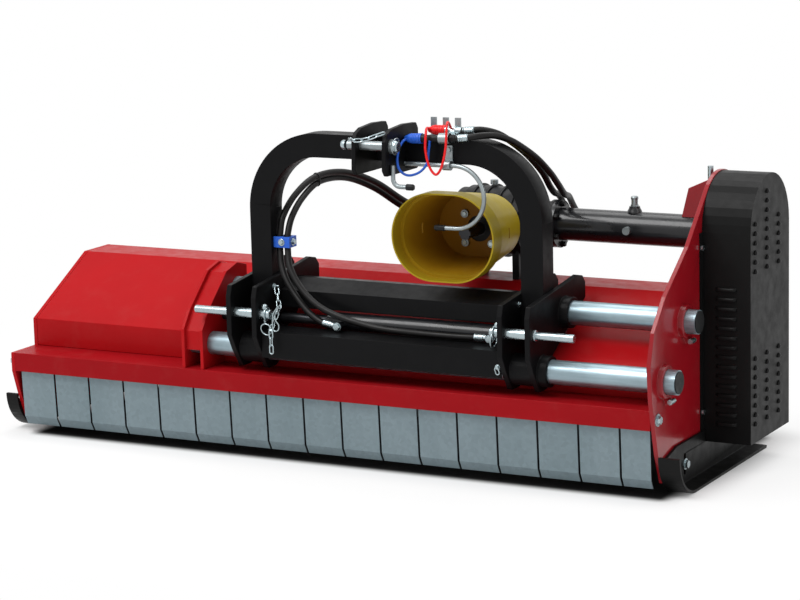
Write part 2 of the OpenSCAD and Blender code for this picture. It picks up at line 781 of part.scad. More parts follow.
// The bolt whose wide washer laps over the end of the hinge rod
module retainer_place() { translate([0, rod_y, rod_z]) children(); }
module side_bores(x0, x1) {
    bar_x(x0 - over, x1 + over, rod_y, rod_z, rod_r + seat_fit);
    bar_x(x0 - over, x1 + over, rotor_y, rotor_z, rotor_pin_r + run_fit + belt_fit);
    skid_bolt_places() bar_x(x0 - over, x1 + over, 0, 0, bolt_r + seat_fit);
}

module left_side_plate() color("#c82024") place() difference() {
    across(left_out_x, left_in_x) polygon(concat(
        [[0, lip_z], [0, lip_top_z]],
        hood_path,
        [[hood_rear_y, side_low_z + arm_w], [hood_rear_y - arm_w / 2, side_low_z], side_front[0], side_front[1], side_front[2]]
    ));
    side_bores(left_out_x, left_in_x);
}

module collar(y, z) difference() {
    union() {
        bar_x(right_out_x, right_out_x + collar_len, y, z, collar_r);
        across(right_out_x, right_out_x + collar_len)
            polygon([[y - collar_r, z], [y + collar_r, z], [y + collar_r / 3, z - collar_r - collar_lug_h]]);
    }
    bar_x(right_out_x - over, right_out_x + collar_len + over, y, z, bar_r + seat_fit);
}

tension_path = [
    [right_in_x - tension_w, cover_cz],
    [right_in_x - tension_top_w, cover_cz + tension_h],
    [right_in_x, cover_cz + tension_h + tension_rise],
];
module right_side_plate() color("#c82024") place() {
    difference() {
        across(right_in_x, right_out_x) polygon(concat(
            side_front,
            arc([rotor_y, cover_cz], side_crown_r, crown_start_a, 0, 24),
            [
                [rotor_y + side_crown_r, hood_top_z],
                [hood_rear_y, hood_rear_z],
                [hood_rear_y, side_low_z + arm_w],
                [hood_rear_y - arm_w / 2, side_low_z],
            ]
        ));
        side_bores(right_in_x, right_out_x);
        bar_x(right_in_x - over, right_out_x + over, upper_bar_y, upper_bar_z, bar_r + seat_fit);
        bar_x(right_in_x - over, right_out_x + over, lower_bar_y, lower_bar_z, bar_r + seat_fit);
        bar_x(right_in_x - over, right_out_x + over, rotor_y, drive_z, cross_r + belt_fit);
        cover_bolt_places() bar_x(right_in_x - over, right_out_x + over, 0, 0, cover_bolt_r + seat_fit);
    }
    collar(upper_bar_y, upper_bar_z);
    collar(lower_bar_y, lower_bar_z);
    // Belt tension bracket welded to the inner face
    difference() {
        translate([0, rotor_y, 0]) {
            along(-tension_d / 2, tension_d / 2) polygon(sheet(tension_path, -tension_t));
            along(-tension_d / 2, tension_t - tension_d / 2) polygon(concat(tension_path, [[right_in_x, cover_cz]]));
        }
        bar_x(right_in_x - tension_w - over, right_in_x, rotor_y, drive_z, tube_r + seat_fit);
        bar_z(tension_screw_x, rotor_y, cover_cz, cover_cz + tension_h + tension_screw_h, tension_screw_r + seat_fit);
    }
}

module left_bar_bracket() color("#c82024") place() {
    difference() {
        for (x = [bracket_x0, bracket_x1 - rib_wall]) across(x, x + rib_wall) polygon(concat(
            bracket_front,
            [[bracket_back_y, slope_z(bracket_back_y, 0)], [hood_y, hood_wall_z], [hood_y, lip_top_z]]
        ));
        bar_x(bracket_x0 - over, bracket_x1 + over, upper_bar_y, upper_bar_z, bar_r + seat_fit);
        bar_x(bracket_x0 - over, bracket_x1 + over, lower_bar_y, lower_bar_z, bar_r + seat_fit);
    }
    across(bracket_x0 + rib_wall, bracket_x1 - rib_wall) polygon(sheet(concat(
        [[bracket_front_y + spine_set, lip_top_z + spine_low_share * bracket_h]],
        [for (i = [1:4]) bracket_front[i] + [spine_set, -spine_set / 2]]
    ), -beam_t));
}

module slide_bar(y, z) difference() {
    bar_x(bar_x0, bar_x1, y, z, bar_r);
    bar_x(bar_x0 - over, bar_x1 + over, y, z, bar_r - bar_wall);
}
module slide_bars() color("#c4d4da") place() {
    slide_bar(upper_bar_y, upper_bar_z);
    slide_bar(lower_bar_y, lower_bar_z);
}

module bar_cap(y, z) {
    bar_x(bar_x1, bar_x1 + bar_cap_t, y, z, bar_r - bar_cap_set);
    bar_x(bar_x1 - bar_r, bar_x1, y, z, bar_r - bar_wall - seat_fit);
}
module bar_end_caps() color("#1c1c1c") place() {
    bar_cap(upper_bar_y, upper_bar_z);
    bar_cap(lower_bar_y, lower_bar_z);
}

// Skids and roller
skid_path = concat(
    arc([skid_tip_y + skid_nose_r, skid_nose_r], skid_nose_r, 180, 270, 14),
    [[skid_tip_y + skid_nose_r + skid_len, 0]]
);
module skid(x0, x1, web_x0) {
    across(x0, x1) polygon(sheet(skid_path, skid_t));
    difference() {
        across(web_x0, web_x0 + skid_t) polygon(concat(
            [[skid_tip_y + skid_nose_r + skid_len, skid_t / 2],
    [skid_tip_y + skid_nose_r + skid_len, skid_web_h]],
            [[skid_tip_y + skid_nose_r, skid_web_h]],
            arc([skid_tip_y + skid_nose_r, skid_nose_r], skid_nose_r - skid_t / 2, 190, 270, 12)
        ));
        // Upright slots that set the cutting height
        skid_bolt_places() {
            for (s = [-1, 1]) translate([0, 0, s * skid_slot_h / 2])
                bar_x(web_x0 - over, web_x0 + skid_t + over, 0, 0, bolt_r + seat_fit);
            block([web_x0 - over, -bolt_r - seat_fit, -skid_slot_h / 2],
                [web_x0 + skid_t + over, bolt_r + seat_fit, skid_slot_h / 2]);
        }
    }
}
module skids() color("#202020") place() {
    skid(left_out_x - left_skid_w, left_out_x, left_out_x - skid_t);
    skid(right_out_x, right_out_x + skid_w, right_out_x);
}

module roller_arm(x) difference() {
    across(x, x + arm_t) polygon([
        [hood_rear_y - arm_w * arm_foot_share, rotor_z],
        [hood_rear_y, rotor_z],
        [roller_y + arm_pin_r, roller_r + arm_pin_r / 2],
        [roller_y + arm_pin_r, roller_r - arm_pin_r],
        [roller_y - arm_pin_r, roller_r - arm_pin_r],
        [hood_rear_y - arm_w * arm_foot_share, rotor_z - arm_w],
    ]);
    bar_x(x - over, x + arm_t + over, roller_y, roller_r, roller_pin_r + run_fit);
}
module roller_arms() color("#202020") place() {
    roller_arm(left_in_x);
    roller_arm(right_in_x - arm_t);
}

roller_gap = 4;
roller_x0 = left_in_x + arm_t + roller_gap;
roller_x1 = right_in_x - arm_t - roller_gap;
module rear_roller() color("#2a2a2a") place() {
    difference() {
        bar_x(roller_x0, roller_x1, roller_y, roller_r, roller_r);
        bar_x(roller_x0 + roller_disc_t, roller_x1 - roller_disc_t, roller_y, roller_r, roller_r - roller_wall);
    }
    bar_x(left_in_x, roller_x0, roller_y, roller_r, roller_pin_r);
    bar_x(roller_x1, right_in_x, roller_y, roller_r, roller_pin_r);
}

// Rotor
rotor_x0 = left_in_x + rotor_end_gap;
rotor_x1 = right_in_x - rotor_end_gap;
flail_step = (rotor_x1 - rotor_x0) / flail_count;
module flail_places() {
    for (i = [0:flail_count - 1]) translate([rotor_x0 + (i + 0.5) * flail_step, rotor_y, rotor_z])
        rotate([i * flail_turn, 0, 0]) children();
}
module lug_pair() {
    for (s = [-1, 1]) translate([s * (lug_gap + lug_t) / 2 - lug_t / 2, 0, 0]) difference() {
        union() {
            block([0, -lug_r, rotor_r - rotor_wall], [lug_t, lug_r, flail_bolt_orbit]);
            bar_x(0, lug_t, 0, flail_bolt_orbit, lug_r);
        }
        bar_x(-over, lug_t + over, 0, flail_bolt_orbit, flail_bolt_r + seat_fit);
    }
}
module rotor_drum() color("#3a3a3a") place() {
    difference() {
        union() {
            bar_x(rotor_x0, rotor_x1, rotor_y, rotor_z, rotor_r);
            flail_places() lug_pair();
        }
        bar_x(rotor_x0 + rotor_disc_t, rotor_x1 - rotor_disc_t, rotor_y, rotor_z, rotor_r - rotor_wall);
    }
    bar_x(left_out_x - bearing_left_len + bolt_head_h, rotor_x0, rotor_y, rotor_z, rotor_pin_r);
    bar_x(rotor_x1, shaft_end_x, rotor_y, rotor_z, rotor_pin_r);
}

eye_gap = 4;
eye_w = lug_gap - eye_gap;
module flail() difference() {
    union() {
        bar_x(-eye_w / 2, eye_w / 2, 0, flail_bolt_orbit, flail_bolt_r + lug_t);
        block([-eye_w / 2, -flail_t / 2, flail_bolt_orbit], [eye_w / 2, flail_t / 2, flail_bolt_orbit + 2 * lug_r]);
        along(-flail_t / 2, flail_t / 2) polygon([
            [-eye_w / 2, flail_bolt_orbit + 1.5 * lug_r],
            [eye_w / 2, flail_bolt_orbit + 1.5 * lug_r],
            [flail_w / 2, flail_tip_orbit - flail_t],
            [flail_w / 2, flail_tip_orbit],
            [-flail_w / 2, flail_tip_orbit],
            [-flail_w / 2, flail_tip_orbit - flail_t],
        ]);
    }
    bar_x(-eye_w, eye_w, 0, flail_bolt_orbit, flail_bolt_r + seat_fit);
}
module flails() color("#2e2e30") place() flail_places() flail();

module flail_bolt() {
    end_x = lug_gap / 2 + lug_t;
    bar_x(-end_x, end_x, 0, flail_bolt_orbit, flail_bolt_r);
    hex_x(end_x, end_x + flail_bolt_r, 0, flail_bolt_orbit, 1.6 * flail_bolt_r);
    hex_x(-end_x - flail_bolt_r, -end_x, 0, flail_bolt_orbit, 1.6 * flail_bolt_r);
}
module flail_bolts() color("#9aa2a6") place() flail_places() flail_bolt();

module rotor_bearings() color("#2c2c2c") place() difference() {
    union() {
        bar_x(left_out_x - bearing_left_len, left_out_x, rotor_y, rotor_z, bearing_r);
        bar_x(right_out_x, right_out_x + bearing_len, rotor_y, rotor_z, bearing_r);
    }
    bar_x(left_out_x - bearing_left_len + bolt_head_h - over, right_out_x + bearing_len + over, rotor_y, rotor_z,
        rotor_pin_r + run_fit);
}

// Belt drive
module pulley(z, r, shaft_r) difference() {
    bar_x(pulley_x0, pulley_x1, rotor_y, z, r);
    for (i = [0:belt_count - 1]) difference() {
        bar_x(belt_x(i) - belt_fit, belt_x(i) + belt_w + belt_fit, rotor_y, z, r + over);
        bar_x(belt_x(i) - belt_w, belt_x(i) + 2 * belt_w, rotor_y, z, r - groove_d);
    }
    bar_x(pulley_x0 - over, pulley_x1 + over, rotor_y, z, shaft_r + seat_fit);
}
function belt_x(i) = (pulley_x0 + pulley_x1 - belt_w) / 2 + (i - (belt_count - 1) / 2) * belt_pitch;
module rotor_pulley() color("#55585a") place() pulley(rotor_z, rotor_pulley_r, rotor_pin_r);
module drive_pulley() color("#55585a") place() pulley(drive_z, drive_pulley_r, cross_r);

// Two circles and the straight runs that touch them both
module belt_loop(grow) {
    top_r = drive_pulley_r - groove_d + belt_fit + grow;
    low_r = rotor_pulley_r - groove_d + belt_fit + grow;
    a = asin((top_r - low_r) / (drive_z - rotor_z));
    translate([rotor_y, drive_z]) circle(top_r);
    translate([rotor_y, rotor_z]) circle(low_r);
    polygon([
        [rotor_y + top_r * cos(a), drive_z + top_r * sin(a)],
        [rotor_y + low_r * cos(a), rotor_z + low_r * sin(a)],
        [rotor_y - low_r * cos(a), rotor_z + low_r * sin(a)],
        [rotor_y - top_r * cos(a), drive_z + top_r * sin(a)],
    ]);
}
module drive_belts() color("#151515") place() for (i = [0:belt_count - 1]) across(belt_x(i), belt_x(i) + belt_w)
    difference() {
        belt_loop(belt_t);
        belt_loop(0);
    }

module cover_outline(inset) polygon(concat(
    [[cover_front_y + inset, cover_low_z + inset]],
    arc([rotor_y, cover_cz], cover_r - inset, 180, 0, 20),
    [[cover_rear_y - inset, cover_low_z + inset]]
));
module belt_cover() color("#242424") place() difference() {
    union() {
        across(right_out_x, cover_out_x) cover_outline(0);
        block([right_out_x, cover_front_y - cover_flange_d, cover_low_z + cover_t],
            [right_out_x + cover_t, cover_front_y + cover_t, cover_cz]);
    }
    across(right_out_x - over, cover_out_x - cover_t) cover_outline(cover_t);
    cover_bolt_places() bar_x(right_out_x - over, right_out_x + cover_t + over, 0, 0, cover_bolt_r + seat_fit);
    louvre_x = right_out_x + (cover_w - louvre_w) / 2;
    for (i = [0:louvre_count - 1]) {
        share = louvre_span_shares[0] + (louvre_span_shares[1] - louvre_span_shares[0]) * i / (louvre_count - 1);
        block([louvre_x, cover_front_y - over, cover_low_z + share * cover_h - louvre_h / 2],
            [louvre_x + louvre_w, cover_front_y + cover_t + over, cover_low_z + share * cover_h + louvre_h / 2]);
    }
    for (u = [0, 1], k = [-1:1], i = [0:hole_rows - 1 + u * (k == 0 ? 1 : -2)])
        bar_x(cover_out_x - 2 * cover_t, cover_out_x + over, rotor_y - hole_back + k * hole_column,
            cover_low_z + hole_cluster_shares[u] * cover_h + i * hole_pitch, hole_r);
    // The lower rim is cut back round the skid's web
    block([right_out_x - over, cover_front_y - cover_flange_d - over, cover_low_z - over],
        [right_out_x + skid_t + belt_fit, cover_rear_y + over, skid_web_h + belt_fit]);
}

// A bolt whose head sits on the face at x, with its shank going to shank_x
module bolt(x, out, shank_x) {
    head_x = x + out * bolt_washer_t;
    bar_x(min(x, head_x), max(x, head_x), 0, 0, bolt_washer_r);
    hex_x(min(head_x, head_x + out * bolt_head_h), max(head_x, head_x + out * bolt_head_h), 0, 0, bolt_head_r);
    bar_x(min(x, shank_x), max(x, shank_x), 0, 0, bolt_r);
}
// A nut and its washer over the end of the flaps' rod
module rod_nut(x, out) {
    head_x = x + out * bolt_washer_t;
    bar_x(min(x, head_x), max(x, head_x), 0, 0, retainer_r);
    hex_x(min(head_x, head_x + out * bolt_head_h), max(head_x, head_x + out * bolt_head_h), 0, 0, bolt_head_r);
}
module deck_bolts() color("#b8c4c8") place() {
    cover_bolt_places() {
        bar_x(right_in_x, right_out_x + cover_t, 0, 0, cover_bolt_r);
        bar_x(right_out_x + cover_t, right_out_x + cover_t + cover_bolt_head_h, 0, 0, cover_bolt_head_r);
    }
    retainer_place() rod_nut(right_out_x, 1);
    retainer_place() rod_nut(left_out_x, -1);
    skid_bolt_places() bolt(right_out_x + skid_t, 1, right_in_x);
    skid_bolt_places() bolt(left_out_x - skid_t, -1, left_in_x);
    // Clamp bolts under the collars of the slide bars
    for (c = [[upper_bar_y, upper_bar_z], [lower_bar_y, lower_bar_z]])
        bar_y(right_out_x + collar_len + bolt_r, c[0] - bolt_head_h, c[0] + bolt_head_r + bolt_head_h,
            c[1] - collar_r - bolt_head_h, bolt_r);
    // Belt tension screw
    bar_z(tension_screw_x, rotor_y, cover_cz + tension_h, cover_cz + tension_h + tension_screw_h, tension_screw_r);
    // Bolt in the bracket's pocket
    bar_y((bracket_x0 + bracket_x1) / 2, hood_y - bolt_head_h, hood_y, lip_top_z + bolt_head_r + bolt_r, bolt_r);
}

// Gearbox and drive line
module oval(h, w) {
    for (s = [-1, 1]) translate([s * (w - h) / 2, 0]) circle(h / 2);
    square([w - h, h], center = true);
}
module guard_bolt_places() {
    for (i = [-1, 1], k = [-1, 1])
        translate([gear_x + i * guard_bolt_spread / 2, 0, drive_z + k * guard_bolt_spread / 2]) children();
}
cone_share = pinion_r / crown_r;
crown_face_y = rotor_y - pinion_r - gear_gap;
pinion_x = gear_x + crown_r;

module gearbox_housing() color("#262626") place() {
    body_x0 = gear_x - gearbox_w / 2;
    body_x1 = gear_x + gearbox_w / 2;
    difference() {
        union() {
            bar_x(body_x0, body_x1, rotor_y, drive_z, gearbox_r);
            for (s = rib_shares) bar_x(body_x0 + s * gearbox_w - rib_t / 2, body_x0 + s * gearbox_w + rib_t / 2,
                rotor_y, drive_z, rib_r);
            bar_x(body_x0 - end_cover_t, body_x0, rotor_y, drive_z, end_cover_r);
            bar_y(gear_x, flange_y, rotor_y, drive_z, neck_r);
            bar_y(gear_x, flange_y, flange_y + flange_t, drive_z, flange_r);
            bar_x(gear_x, tube_x0, rotor_y, drive_z, tube_flange_r - foot_t / 4);
            bar_x(tube_x0 - tube_flange_t, tube_x0, rotor_y, drive_z, tube_flange_r);
            for (x = [body_x0 + gearbox_wall, body_x1 - gearbox_wall - foot_t])
                block([x, hood_crest_y + foot_t, hood_top_z], [x + foot_t, hood_tail_y - foot_t, drive_z - gearbox_r / 2]);
        }
        bar_x(gear_x - gear_cavity_w / 2, gear_x + gear_cavity_w / 2, rotor_y, drive_z, gear_cavity_r);
        bar_y(gear_x, flange_y - over, rotor_y, drive_z, pto_r + pto_step + run_fit);
        bar_x(gear_x, tube_x0 + over, rotor_y, drive_z, cross_r + run_fit);
        guard_bolt_places() bar_y(0, flange_y - over, flange_y + flange_t + over, 0, bolt_r + seat_fit);
    }
}

// Oval that narrows from one height to another and keeps its flat length
module oval_cone(y0, h0, y1, h1) {
    for (s = [-1, 1]) translate([s * guard_flat / 2, y0, 0]) rotate([-90, 0, 0])
        cylinder(h = y1 - y0, r1 = h0 / 2, r2 = h1 / 2);
    across(-guard_flat / 2, guard_flat / 2) polygon([[y0, -h0 / 2], [y1, -h1 / 2], [y1, h1 / 2], [y0, h0 / 2]]);
}
module pto_guard() color("#b9a03c") place() difference() {
    body_h = guard_h - 2 * guard_step;
    slot_y = guard_mouth_y + guard_slot_share * (flange_y - guard_mouth_y);
    translate([gear_x, 0, drive_z + guard_rise]) difference() {
        union() {
            oval_cone(guard_mouth_y, guard_h, guard_step_y + guard_t, guard_h);
            oval_cone(guard_step_y, body_h, flange_y, guard_back_h);
        }
        oval_cone(guard_mouth_y - over, guard_h - 2 * guard_t, guard_step_y, guard_h - 2 * guard_t);
        oval_cone(guard_step_y - over, body_h - 2 * guard_t, flange_y - guard_t, guard_back_h - 2 * guard_t);
        block([-guard_w, slot_y - guard_slot_w / 2, -guard_slot_h / 2], [guard_w, slot_y + guard_slot_w / 2, guard_slot_h / 2]);
    }
    bar_y(gear_x, flange_y - 2 * guard_t, flange_y + over, drive_z, guard_plate_hole_r);
    guard_bolt_places() bar_y(0, flange_y - 2 * guard_t, flange_y + over, 0, bolt_r + seat_fit);
}

module transmission_tube() color("#242424") place() difference() {
    union() {
        bar_x(tube_x0, right_in_x, rotor_y, drive_z, tube_r);
        bar_x(tube_x0, tube_x0 + tube_flange_t, rotor_y, drive_z, tube_flange_r);
    }
    bar_x(tube_x0 + 2 * tube_flange_t, right_in_x - 2 * tube_flange_t, rotor_y, drive_z, tube_r - tube_wall);
    bar_x(tube_x0 - over, right_in_x + over, rotor_y, drive_z, cross_r + run_fit);
}

module gearbox_fittings() color("#b8c4c8") place() {
    tube_len = right_in_x - tube_x0;
    guard_bolt_places() {
        bar_y(0, flange_y - guard_t, flange_y + flange_t, 0, bolt_r);
        bar_y(0, flange_y - guard_t - bolt_head_h, flange_y - guard_t, 0, bolt_head_r);
    }
    bar_z(tube_x0 + breather_share * tube_len, rotor_y, drive_z + tube_r, drive_z + tube_r + breather_h, breather_r);
    bar_z(tube_x0 + breather_share * tube_len, rotor_y, drive_z + tube_r, drive_z + tube_r + plug_h, plug_r);
    bar_y(tube_x0 + level_share * tube_len, rotor_y - tube_r - plug_h, rotor_y - tube_r, drive_z, plug_r);
    for (x = [gear_x - gearbox_w / 8, gear_x + gearbox_w / 8])
        bar_z(x, rotor_y, drive_z + rib_r, drive_z + rib_r + plug_h, plug_r);
}

module cross_shaft() color("#8a9094") place() {
    // Bevel pinion on the shaft's inner end
    tooth = tooth_share * crown_r;
    translate([pinion_x - tooth, rotor_y, drive_z]) rotate([0, 90, 0])
        cylinder(h = tooth, r1 = pinion_r - tooth * cone_share - gear_gap, r2 = pinion_r - gear_gap);
    bar_x(pinion_x, gear_x + gear_cavity_w / 2 - gear_gap, rotor_y, drive_z, pinion_r - gear_gap);
    bar_x(gear_x + gear_cavity_w / 2 - gear_gap, shaft_end_x, rotor_y, drive_z, cross_r);
}

module pto_shaft() color("#8a9094") place() {
    tooth = tooth_share * crown_r;
    difference() {
        union() {
            bar_y(gear_x, pto_tip_y, flange_y, drive_z, pto_r);
            bar_y(gear_x, flange_y, crown_face_y - crown_back_t, drive_z, pto_r + pto_step);
        }
        for (i = [0:spline_count - 1]) translate([gear_x, 0, drive_z]) rotate([0, i * 360 / spline_count, 0])
            block([-spline_w / 2, pto_tip_y - over, pto_r - spline_d],
                [spline_w / 2, pto_tip_y + spline_len, pto_r + spline_d]);
    }
    bar_y(gear_x, crown_face_y - crown_back_t, crown_face_y, drive_z, crown_r);
    translate([gear_x, crown_face_y, drive_z]) rotate([-90, 0, 0])
        cylinder(h = tooth * cone_share, r1 = crown_r, r2 = crown_r - tooth);
}

// Carriage
module bar_bores(x0, x1) {
    bar_x(x0 - over, x1 + over, upper_bar_y, upper_bar_z, bar_r + slide_fit);
    bar_x(x0 - over, x1 + over, lower_bar_y, lower_bar_z, bar_r + slide_fit);
}
module hitch_bracket(out_x, in_x, sleeve_x0, sleeve_x1) difference() {
    union() {
        for (x = [out_x, in_x]) across(x, x + hitch_t) polygon(hitch_outline);
        bar_x(sleeve_x0, sleeve_x1, upper_bar_y, upper_bar_z, sleeve_r);
        bar_x(sleeve_x0, sleeve_x1, lower_bar_y, lower_bar_z, sleeve_r);
    }
    bar_bores(sleeve_x0, sleeve_x1);
    bar_x(sleeve_x0 - over, sleeve_x1 + over, link_pin_y, link_pin_z, link_pin_r + seat_fit);
}
module left_hitch_bracket() color("#202020") place() difference() {
    hitch_bracket(left_out_plate_x, left_in_plate_x, left_out_plate_x, beam_x0);
    // Clearance for the piston rod
    bar_x(left_out_plate_x - over, beam_x0 + over, cylinder_y, cylinder_z, piston_rod_r + sleeve_t / 2);
}
module right_hitch_bracket() color("#202020") place()
    hitch_bracket(right_out_plate_x, right_in_plate_x, beam_x1, right_out_plate_x + hitch_t + sleeve_out);

module carriage_beams() color("#202020") place() across(beam_x0, beam_x1) {
    polygon(sheet([
        [upper_beam_front_y, upper_beam_low_z],
        [upper_beam_front_y, upper_beam_brow_z],
        [upper_bar_y, upper_beam_top_z],
        [upper_beam_back_y, upper_beam_top_z - beam_t],
        [upper_beam_back_y, upper_bar_z],
    ], -beam_t));
    polygon(sheet([
        [lower_beam_front_y, lower_beam_low_z],
        [lower_beam_front_y, lower_beam_top_z],
        [lower_beam_back_y, lower_beam_top_z],
    ], -beam_t));
}

module tube_section(side, wall) difference() {
    square(side);
    translate([wall, wall]) square(side - 2 * wall);
}
module arch_bend(x, side) translate([x, arch_rear_y, arch_top_z - arch_out_r]) mirror([side < 0 ? 1 : 0, 0, 0])
    rotate([90, 0, 0]) rotate_extrude(angle = 90) translate([arch_bend_r, 0]) tube_section(arch_side, arch_wall);
module arch() color("#202020") place() difference() {
    union() {
        arch_bend(arch_x1 - arch_out_r, 1);
        arch_bend(arch_x0 + arch_out_r, -1);
        for (x = [arch_x0, arch_x1 - arch_side]) translate([x, arch_y, arch_low_z])
            linear_extrude(arch_top_z - arch_out_r - arch_low_z) tube_section(arch_side, arch_wall);
        across(arch_x0 + arch_out_r, arch_x1 - arch_out_r) translate([arch_y, arch_under_z]) tube_section(arch_side, arch_wall);
    }
    // Room for the upper sleeves that pass behind the posts
    bar_x(arch_x0 - over, arch_x1 + over, upper_bar_y, upper_bar_z, sleeve_r + seat_fit);
}

module top_link_bracket() color("#202020") place() difference() {
    for (x = [left_ear_x, right_ear_x]) across(x, x + ear_t) polygon(ear_outline);
    block([left_ear_x - over, arch_y - seat_fit, arch_under_z - seat_fit],
        [right_ear_x + ear_t + over, arch_rear_y + over, arch_top_z + seat_fit]);
    bar_x(left_ear_x - over, right_ear_x + ear_t + over, top_pin_y, top_pin_z, top_pin_r + seat_fit);
    bar_x(right_ear_x - over, right_ear_x + ear_t + over, hook_y, hook_z, hook_r + run_fit);
}
module top_link_pin() color("#b8c4c8") place() {
    bar_x(left_ear_x - top_pin_out, right_ear_x + ear_t, top_pin_y, top_pin_z, top_pin_r);
    bar_x(right_ear_x + ear_t, right_ear_x + ear_t + top_pin_head_t, top_pin_y, top_pin_z, top_pin_head_r);
}

module lower_link_pins() color("#c4d4da") place() {
    bar_x(left_out_plate_x, beam_x0 + link_tail_len, link_pin_y, link_pin_z, link_pin_r);
    bar_x(left_out_plate_x - link_stub_len, left_out_plate_x, link_pin_y, link_pin_z, link_stub_r);
    bar_x(beam_x1 - link_tail_len, right_out_plate_x + hitch_t, link_pin_y, link_pin_z, link_pin_r);
    bar_x(right_out_plate_x + hitch_t, right_out_plate_x + hitch_t + link_stub_len, link_pin_y, link_pin_z, link_stub_r);
}

// One oval chain link, upright, turned about its own height
module chain_link(turn) rotate([0, 0, turn]) {
    for (s = [-1, 1]) {
        translate([s * link_end_r, 0, -link_straight / 2]) cylinder(h = link_straight, r = link_wire_r);
        translate([0, 0, s * link_straight / 2]) rotate([90, 0, 0]) rotate([0, 0, s > 0 ? 0 : 180])
            rotate_extrude(angle = 180) translate([link_end_r, 0]) circle(link_wire_r);
    }
}
// Chain from a knot along its legs, each with a number of links and a way to run, after n other links
module chain(from, legs, i, n) if (i < len(legs)) {
    count = legs[i][0];
    way = unit(legs[i][1]);
    for (k = [0:count - 1]) translate(from + (k + 0.5) * link_pitch * way)
        rotate([0, acos(way[2]), atan2(way[1], way[0])]) chain_link((n + k) % 2 == 0 ? 90 : 0);
    chain(from + count * link_pitch * way, legs, i + 1, n + count);
}
module retainer(face_x, out, legs) {
    ring_x = face_x + out * link_tail_len * 2 / 3;
    // Ring of the linch pin round the tail of the lower pin
    translate([ring_x, link_pin_y, link_pin_z]) rotate([0, 90, 0]) rotate_extrude()
        translate([link_pin_r + ring_r + seat_fit, 0]) circle(ring_r);
    // Chain that hangs from a small bolt on the hitch plate
    bar_x(min(face_x, face_x + out * chain_bolt_h), max(face_x, face_x + out * chain_bolt_h), chain_y,
        chain_top_z, chain_bolt_r / 2);
    chain([face_x + out * chain_bolt_h / 2, chain_y, chain_top_z - chain_bolt_r / 2], legs, 0, 0);
}
module retainer_chains() color("#b8c4c8") place() {
    retainer(beam_x0, 1, left_chain_shares);
    retainer(beam_x1, -1, right_chain_shares);
}

// Side-shift cylinder
module cylinder_rod() color("#c4d4da") place() {
    bar_x(bracket_x1, piston_x, cylinder_y, cylinder_z, piston_rod_r);
    bar_x(bracket_x1, bracket_x1 + rod_nut_w, cylinder_y, cylinder_z, piston_rod_r + sleeve_t / 2);
    bar_x(piston_x, piston_x + piston_w, cylinder_y, cylinder_z, barrel_r - barrel_wall - run_fit);
}
module cylinder_barrel() color("#26282a") place() difference() {
    union() {
        bar_x(barrel_x0, barrel_x1, cylinder_y, cylinder_z, barrel_r);
        bar_x(barrel_x1, beam_x1, cylinder_y, cylinder_z, piston_rod_r);
        for (x = [barrel_x0 + port_in, barrel_x1 - port_out]) {
            bar_y(x, port_y, cylinder_y - barrel_r + barrel_wall, cylinder_z, port_r);
            bar_x(x - ferrule_len, x, port_y + port_r, cylinder_z, ferrule_r);
        }
    }
    bar_x(barrel_x0 + barrel_cap_t, barrel_x1 - barrel_cap_t, cylinder_y, cylinder_z, barrel_r - barrel_wall);
    bar_x(barrel_x0 - over, barrel_x0 + barrel_cap_t + over, cylinder_y, cylinder_z, piston_rod_r + run_fit);
}

// Hoses, couplers and hook
module hose_left() color("#191919") place() swept_tube(smooth(hose_left_route, hose_steps), hose_r, hose_sides);
module hose_right() color("#191919") place() swept_tube(smooth(hose_right_route, hose_steps), hose_r, hose_sides);

module hose_clamp() color("#2d64c8") place() difference() {
    block([arch_x0 + arch_side, arch_y + arch_side / 2 - clamp_d / 2, clamp_z - clamp_h / 2],
        [arch_x0 + arch_side + clamp_w, arch_y + arch_side / 2 + clamp_d / 2, clamp_z + clamp_h / 2]);
    for (p = [hose_left_route[7], hose_right_route[12]])
        bar_z(p[0], p[1], clamp_z - clamp_h, clamp_z + clamp_h, hose_r + clamp_room);
}

// Body and cap of a coupler, with its axis along the width and its hose at x = 0
module coupler(length) {
    bar_x(-length + cap_len / 2, 0, 0, 0, coupler_r);
    bar_x(-length, -length + cap_len, 0, 0, cap_r);
}
module red_coupler() color("#e12323") place() {
    translate(red_end) coupler(red_len);
    swept_tube(smooth(strap_route(red_strap_shares, red_cap_end, red_end), strap_steps), strap_r, strap_sides);
}
module blue_coupler() color("#2d64c8") place() {
    translate(blue_end) rotate([0, -blue_tilt, 0]) coupler(blue_len);
    swept_tube(smooth(strap_route(blue_strap_shares, blue_cap_end, blue_end), strap_steps), strap_r, strap_sides);
}

